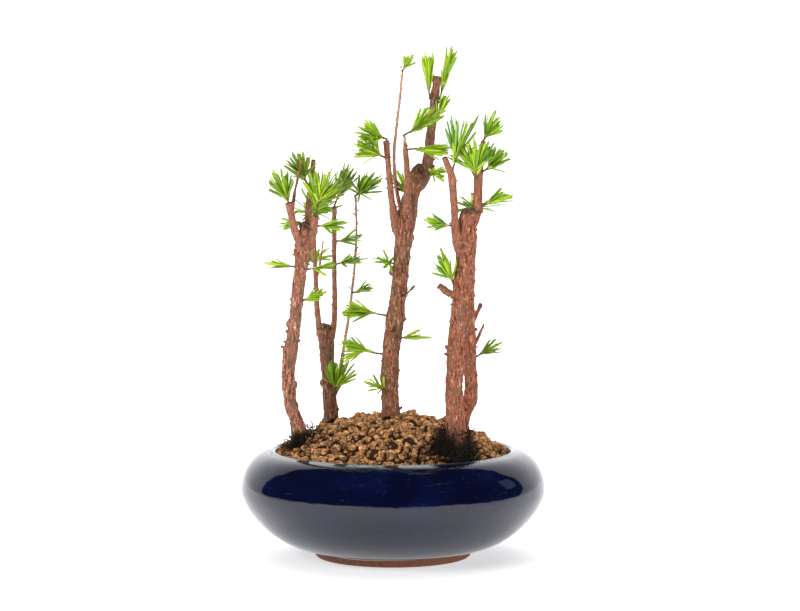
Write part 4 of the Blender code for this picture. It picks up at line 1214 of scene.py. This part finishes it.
def tuft_needles(mass, order, way, length, axis, rng):
    """A flattened fan of needles about a shoot's end: (share of the shoot, way, side, length)."""
    across = (axis - way * axis.dot(way)).normalized()
    flat = across.cross(way)
    count = TUFT_NEEDLES[min(order, 1)]
    start = rng.uniform(0, math.tau)
    spread = math.radians(min(mass.spread, WIDEST_TUFT) * min(1.0, mass.spread / NARROW_TUFT))
    for i in range(count + LOOSE_NEEDLES):
        loose = i >= count
        out_share = 1.0 if loose else math.sqrt((i + FIRST_NEEDLE_PLACE) / count)
        turn = start + i * GOLDEN_TURN
        out = flat * math.cos(turn) + across * math.sin(turn) * TUFT_FLATNESS
        lean = spread * out_share * out.length
        lean *= rng.uniform(*LOOSE_LEAN) if loose else BUNDLE_SHARE * rng.uniform(*BUNDLE_LEAN)
        needle_way = way * math.cos(lean) + out.normalized() * math.sin(lean)
        setback = out_share * rng.uniform(0.0, min(NEEDLE_SETBACK, length)) / length
        reach = mass.reach * (MIDDLE_REACH - OUTER_REACH_LOSS * out_share)
        reach *= rng.uniform(*NEEDLE_REACH)
        if order >= mass.shoots:
            reach *= FINE_SHOOT_REACH
        roll = SIDEWAYS_ROLL if rng.random() < SIDEWAYS_NEEDLE else rng.gauss(0, NEEDLE_ROLL)
        side = Matrix.Rotation(roll, 3, needle_way) @ needle_way.cross(across)
        yield 1 - setback, needle_way, side, reach


def stem_needles(mass, way, length, axis, rng):
    """Pairs of short needles down a stem, in the same terms."""
    across = (axis - way * axis.dot(way)).normalized()
    flat = across.cross(way)
    count = 2 * (int(length / STEM_NEEDLE_STEP) - 1)
    low, span = STEM_NEEDLE_PLACES
    for i in range(count):
        shift = rng.uniform(-STEM_NEEDLE_SHIFT, STEM_NEEDLE_SHIFT)
        lean = math.radians(mass.spread * rng.uniform(*STEM_NEEDLE_LEAN))
        tilt = rng.uniform(-STEM_NEEDLE_TILT, STEM_NEEDLE_TILT)
        out = (flat * (1 if i % 2 else -1) + across * tilt).normalized()
        needle_way = (way * math.cos(lean) + out * math.sin(lean)).normalized()
        roll = rng.gauss(0, STEM_NEEDLE_ROLL)
        side = Matrix.Rotation(roll, 3, needle_way) @ needle_way.cross(across)
        reach = mass.reach * rng.uniform(*STEM_NEEDLE_REACH)
        yield low + span * (i + shift) / count, needle_way, side, reach


def add_twig(heap, root, way, length, low, high, rng):
    """A fine twig with a slight bow, sunk a little into what carries it."""
    bow = way.orthogonal().normalized() * rng.uniform(-TWIG_BOW, TWIG_BOW) * length
    steps = max(FEWEST_TWIG_STEPS, int(length / TWIG_STEP))
    shares = [i / steps for i in range(steps + 1)]
    points = [
        root - way * TWIG_SUNK + way * ((length + TWIG_SUNK) * t) + bow * math.sin(math.pi * t)
        for t in shares
    ]
    radii = [low + (high - low) * t for t in shares]
    heap.add(*tube(points, radii, TWIG_SIDES))


def add_bud(heap, centre, way, size, rng):
    """Pale overlapping scales round the base of a tuft."""
    side = way.orthogonal().normalized()
    back, step = BUD_FOOT
    wide, bulge = BUD_WIDTH
    for i in range(BUD_SCALES):
        out = Matrix.Rotation(i * GOLDEN_TURN, 3, way) @ side
        points = [
            centre - way * size * (back - step * i / BUD_SCALES) + way * size * BUD_SCALE_LENGTH * t
            + out * size * (wide + bulge * math.sin(t * BUD_BULGE))
            for t, _ in BUD_SCALE_RINGS
        ]
        radii = [size * radius for _, radius in BUD_SCALE_RINGS]
        heap.add(*tube(points, radii, BUD_SCALE_SIDES), 1, (0, 0, rng.random()))


def build_needles(tree, wood, twig_materials, needle_materials):
    """The twigs and the needles of all masses of a tree, each kind joined into one piece."""
    wood_tree = search_tree(wood.data)
    limbs = {limb.name: limb for limb in LIMBS if limb.tree == tree}
    masses = [mass for mass in MASSES if mass.limb in limbs]
    twigs, blades = Heap(), Heap()
    for mass in masses:
        start, main, axis = stem_of(mass, limbs[mass.limb], LIMB_TREES[mass.limb])
        rng = random.Random(mass.name)
        colours = PALETTES.get(mass.name, PALETTES[tree])
        for order, (root, way, length) in enumerate(shoots_of(mass, start, main, axis, rng)):
            way = way.normalized()
            kind = min(order, 1)
            add_twig(twigs, root, way, length, *TWIG_RADII[kind], rng)
            add_bud(twigs, root + way * length, way, BUD_SIZES[kind], rng)
            slot = colours[order % len(colours)]
            found = [tuft_needles(mass, order, way, length, axis, rng)]
            if order == 0:
                found.append(stem_needles(mass, way, length, axis, rng))
            for share, along, side, reach in itertools.chain(*found):
                place = root + way * length * share
                if wood_tree.ray_cast(place + along * NEEDLE_CLEAR, along, reach)[0] is None:
                    own = rng.random()
                    add_needle(blades, place, along, side, reach, rng.uniform(*NEEDLE_WIDTH),
                               rng.uniform(*NEEDLE_CURL), slot, own)
    made_twigs = twigs.build("twigs_" + tree, twig_materials)
    made_blades = blades.build("foliage_" + tree, needle_materials)
    for made, slot in ((made_twigs, "young_bark"), (made_blades, "needles")):
        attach(made, "root")
    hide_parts(*(mass.name for mass in masses))


# The pot and the soil.


def arc(centre, width, height, start, end, steps, fullness=2.0):
    """Points on an arc in the (radius, height) plane, by angles in degrees."""
    found = []
    for i in range(steps + 1):
        angle = math.radians(start + (end - start) * i / steps)
        across, up = math.cos(angle), math.sin(angle)
        found.append((
            centre[0] + width * math.copysign(abs(across) ** (2 / fullness), across),
            centre[1] + height * math.copysign(abs(up) ** (2 / fullness), up),
        ))
    return found


def pot_profile():
    """The pot's profile as turned, from the floor inside over the lip to the underside."""
    widest = POT_RADIUS - POT_WALL
    inside = arc((INNER_FLOOR_RADIUS, BELLY_HEIGHT), widest - INNER_FLOOR_RADIUS,
                 BELLY_HEIGHT - POT_FLOOR, -90, 0, INSIDE_STEPS[0], BELLY_FULLNESS)
    inside += arc((INNER_RIM_RADIUS, BELLY_HEIGHT), widest - INNER_RIM_RADIUS,
                  POT_HEIGHT - POT_WALL - BELLY_HEIGHT, 0, LIP_TURN, INSIDE_STEPS[1],
                  SHOULDER_FULLNESS)[1:]
    lip = arc((LIP_MIDDLE, POT_HEIGHT - LIP_RADIUS), LIP_RADIUS, LIP_RADIUS, *LIP_ARC, LIP_STEPS)
    upper = arc((RIM_RADIUS, BELLY_HEIGHT), POT_RADIUS - RIM_RADIUS, POT_HEIGHT - BELLY_HEIGHT,
                LIP_TURN, 0, OUTSIDE_STEPS[0], SHOULDER_FULLNESS)
    lower = arc((GLAZE_EDGE, BELLY_HEIGHT), POT_RADIUS - GLAZE_EDGE, BELLY_HEIGHT - GLAZE_HEIGHT,
                0, -90, OUTSIDE_STEPS[1], BELLY_FULLNESS)
    foot = [(FOOT_RADIUS + out, height) for out, height in FOOT_PROFILE]
    outside = upper + lower[1:] + foot
    return [(AXIS_RADIUS, POT_FLOOR)] + inside + lip + outside + [(AXIS_RADIUS, 0.0)]


def build_pot(material):
    turns = np.arange(POT_SIDES) * math.tau / POT_SIDES
    points, marks = [], []
    for radius, height in pot_profile():
        ring = np.column_stack([np.cos(turns) * radius, np.sin(turns) * radius,
                                np.full(POT_SIDES, height)])
        edge = GLAZE_HEIGHT - GLAZE_DROP + GLAZE_WANDER.depth * GLAZE_WANDER.at(ring)
        glazed = np.clip(0.5 + (height - edge) / GLAZE_BLEND, 0, 1)
        crest = math.exp(-((radius - RIM_RADIUS - CREST_OUT) / CREST_WIDTH) ** 2)
        crest = np.full(POT_SIDES, crest if height > CREST_FROM else 0)
        points.append(ring)
        marks.append(np.column_stack([glazed, crest, np.zeros(POT_SIDES)]))
    faces = [
        (i + j, i + POT_SIDES + j, i + POT_SIDES + (j + 1) % POT_SIDES, i + (j + 1) % POT_SIDES)
        for i in range(0, (len(points) - 1) * POT_SIDES, POT_SIDES)
        for j in range(POT_SIDES)
    ]
    heap = Heap()
    heap.add(np.concatenate(points), faces, 0, np.concatenate(marks))
    made = heap.build("glazed_pot", [material])
    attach(made, "root")
    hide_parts("pot")


def grain_shapes():
    """Angular, chipped grains of unit size."""
    shapes = []
    for number in range(GRAIN_SHAPES):
        rng = random.Random(GRAIN_FIRST_SEED + number)
        points, faces = round_ball(GRAIN_LEVEL)
        size, depth = GRAIN_LUMPS
        points *= (1 + depth * wave(points, size, number))[:, None]
        for _ in range(GRAIN_CUTS):
            cut = np.array([rng.gauss(0, 1) for _ in range(3)])
            cut /= np.linalg.norm(cut)
            over = np.maximum(0, points @ cut - rng.uniform(*GRAIN_CUT_DEPTH))
            points = points - np.outer(over, cut)
        size, depth = GRAIN_ROUGHNESS
        points *= (1 + depth * wave(points, size, number + ROUGHNESS_SEED))[:, None]
        points *= np.array([rng.uniform(*GRAIN_STRETCH) for _ in range(3)])
        shapes.append((points, faces))
    return shapes


def ground_height(x, y):
    """The height of the soil's solid over a point."""
    hit = SOIL_TREE.ray_cast(Vector((x, y, SKY_HEIGHT)), Vector((0, 0, -1)))[0]
    return hit.z if hit else SOIL_EDGE


def build_grains(material):
    """Loose grains on the soil's lumps and hollows, in a spiral that covers it evenly."""
    shapes = grain_shapes()
    rng = random.Random("grains")
    heaps = [Heap() for _ in range(GRAIN_PIECES)]
    feet = [
        (limb.foot[0], limb.foot[1], limb_radius(limb, TRUNK_FOOT_SHARE))
        for limb in LIMBS
        if limb.flare
    ]
    for i in range(GRAIN_COUNT):
        away = GRAIN_EDGE * math.sqrt((i + 0.5) / GRAIN_COUNT)
        x = away * math.cos(i * GOLDEN_TURN) + rng.uniform(-GRAIN_SCATTER, GRAIN_SCATTER)
        y = away * math.sin(i * GOLDEN_TURN) + rng.uniform(-GRAIN_SCATTER, GRAIN_SCATTER)
        size = rng.triangular(*GRAIN_RADIUS, GRAIN_USUAL)
        farthest = RIM_RADIUS - GRAIN_RIM_GAP - size * GRAIN_RIM_SHARE
        inward = min(1.0, farthest / math.hypot(x, y))
        x, y = x * inward, y * inward
        if any(math.hypot(x - fx, y - fy) < fr + size * GRAIN_TO_TRUNK for fx, fy, fr in feet):
            continue
        z = ground_height(x, y) + rng.uniform(*GRAIN_SINK)
        points, faces = shapes[rng.randrange(GRAIN_SHAPES)]
        spin = Matrix.Identity(3)
        for axis in "ZXY":
            spin = spin @ Matrix.Rotation(rng.uniform(0, math.tau), 3, axis)
        placed = points @ np.array(spin).T * size + np.array((x, y, z))
        own = min(1.0, max(0.0, rng.gauss(*GRAIN_TONE)))
        heaps[i % GRAIN_PIECES].add(placed, faces, 0, (0, 0, own))
    for number, heap in enumerate(heaps):
        made = heap.build(f"clay_grains_{number + 1}", [material])
        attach(made, "root")


def build_roots(material):
    heap = Heap()
    for tangle in ROOTS:
        rng = random.Random(f"roots {tangle.x}")
        for _ in range(tangle.fibres):
            turn = rng.uniform(0, math.tau)
            out = rng.random() ** (FIBRE_CROWDING if tangle.clear else 0.5)
            away = tangle.clear + (tangle.wide - tangle.clear) * out
            x, y = tangle.x + away * math.cos(turn), tangle.y + away * math.sin(turn)
            if math.hypot(x, y) > RIM_RADIUS - FIBRE_TO_RIM:
                continue
            top = tangle.tall * (1 - out) ** 2 * rng.random()
            place = Vector((x, y, ground_height(x, y) + FIBRE_LIFT + top))
            way = Vector((math.cos(turn), math.sin(turn), 0))
            way = (way + Vector([rng.uniform(-1, 1) for _ in range(3)])).normalized()
            points = [place.copy()]
            for _ in range(rng.randint(*FIBRE_STEPS)):
                bend = Vector([rng.uniform(-FIBRE_BEND, FIBRE_BEND) for _ in range(3)])
                way = (way + bend).normalized()
                place = place + way * rng.uniform(*FIBRE_STEP)
                place.z = max(place.z, ground_height(place.x, place.y) + FIBRE_LOWEST)
                points.append(place.copy())
            radius = rng.uniform(*FIBRE_RADIUS)
            radii = [radius * (1 - FIBRE_TAPER * i / len(points)) for i in range(len(points))]
            heap.add(*tube(points, radii, FIBRE_SIDES), 0, (0, 0, rng.random()))
    made = heap.build("root_fibres", [material])
    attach(made, "root")


def build_wisps(materials):
    heap = Heap()
    for wisp in WISPS:
        place = Vector((wisp.x, wisp.y, ground_height(wisp.x, wisp.y) + WISP_FOOT))
        points, radii = [place.copy()], [wisp.radius]
        for i in range(WISP_STEPS):
            share = i / WISP_STEPS
            way = heading(wisp.facing + math.degrees(wisp.curl) * share,
                          wisp.rise * (1 - WISP_DROOP * share))
            place = place + way * wisp.length / WISP_STEPS
            place.z = max(place.z, ground_height(place.x, place.y) + WISP_LOWEST)
            points.append(place.copy())
            radii.append(wisp.radius * (1 - WISP_TAPER * share))
        heap.add(*tube(points, radii, WISP_SIDES), wisp.kind, (0, 0, 0.5))
    made = heap.build("dry_stalks", materials)
    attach(made, "root")


# The stage, lights and camera.


def build_stage():
    """A pale floor that curves up into a backdrop far behind."""
    material, tree, shader = new_material("pale_paper", *PAPER_FINISH)
    paper = ramp(tree, noise_node(tree, PAPER_TONE), PAPER_COLOURS)
    tree.links.new(paper, shader.inputs["Base Color"])
    shader.inputs["Emission Color"].default_value = (1, 1, 1, 1)
    shader.inputs["Emission Strength"].default_value = PAPER_GLOW
    path = [(BACKDROP_FOOT, 0.0)]
    for i in range(BACKDROP_STEPS):
        turn = math.radians(90 * (i + 1) / BACKDROP_STEPS)
        path.append((BACKDROP_FOOT + BACKDROP_BEND * math.sin(turn),
                     BACKDROP_BEND - BACKDROP_BEND * math.cos(turn)))
    path.append((BACKDROP_FOOT + BACKDROP_BEND, BACKDROP_HEIGHT))
    points = [(x, y, z) for y, z in path for x in (-BACKDROP_REACH, BACKDROP_REACH)]
    faces = [(2 * i, 2 * i + 1, 2 * i + 3, 2 * i + 2) for i in range(len(path) - 1)]
    corner = len(points)
    points += [(-FLOOR_REACH, -FLOOR_REACH, 0), (FLOOR_REACH, -FLOOR_REACH, 0),
               (FLOOR_REACH, BACKDROP_FOOT, 0), (-FLOOR_REACH, BACKDROP_FOOT, 0)]
    faces.append((corner, corner + 1, corner + 2, corner + 3))
    mesh = bpy.data.meshes.new("backdrop")
    mesh.from_pydata(points, [], faces)
    mesh.materials.append(material)
    mesh.polygons.foreach_set("use_smooth", [True] * len(faces))
    made = linked(bpy.data.objects.new("backdrop", mesh))


def build_lights():
    """Broad lights that the glaze does not mirror, and a small window and strip that it does."""
    for box in LIGHTS:
        light = bpy.data.lights.new(box.name, "AREA")
        light.shape = "RECTANGLE"
        light.size, light.size_y = box.size
        light.energy = box.power
        light.color = box.colour
        made = linked(bpy.data.objects.new(box.name, light))
        made.visible_glossy = box.mirrored
        made.location = box.place
        way = Vector(box.target) - Vector(box.place)
        made.rotation_euler = way.to_track_quat("-Z", "Y").to_euler()
    world = bpy.data.worlds.new("studio")
    bpy.context.scene.world = world
    world.use_nodes = True
    background = world.node_tree.nodes["Background"]
    background.inputs["Color"].default_value = WORLD_COLOUR
    background.inputs["Strength"].default_value = WORLD_STRENGTH
    bpy.context.scene.view_settings.view_transform = "Standard"


def build_camera():
    data = bpy.data.cameras.new("camera")
    data.lens = CAMERA_LENS
    data.sensor_width = CAMERA_SENSOR
    data.clip_end = CAMERA_FAR
    made = linked(bpy.data.objects.new("camera", data))
    made.location = CAMERA_PLACE
    made.rotation_euler = (math.radians(CAMERA_TILT), 0, 0)
    bpy.context.scene.camera = made


LIMB_TREES = {limb.name: solid_tree(limb.name) for limb in LIMBS}
SOIL_TREE = solid_tree("soil")
build_camera()
build_lights()
build_stage()

twig_materials = [speckled_material("twig_bark"), speckled_material("bud_scale")]
greens = [needle_material(name, *colours) for name, colours in GREENS.items()]
for tree_name, tint in BARK_TINTS.items():
    grown = build_wood(tree_name, bark_material(tree_name, tint))
    build_needles(tree_name, grown, twig_materials, greens)

build_pot(glaze_material())
build_grains(speckled_material("baked_clay"))
build_roots(speckled_material("root_fibre"))
build_wisps([speckled_material("dry_stalk"), speckled_material("green_sprout")])
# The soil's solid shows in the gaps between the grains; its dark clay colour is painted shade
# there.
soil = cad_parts["soil"]
soil.data.materials.clear()
soil.data.materials.append(speckled_material("deep_clay"))
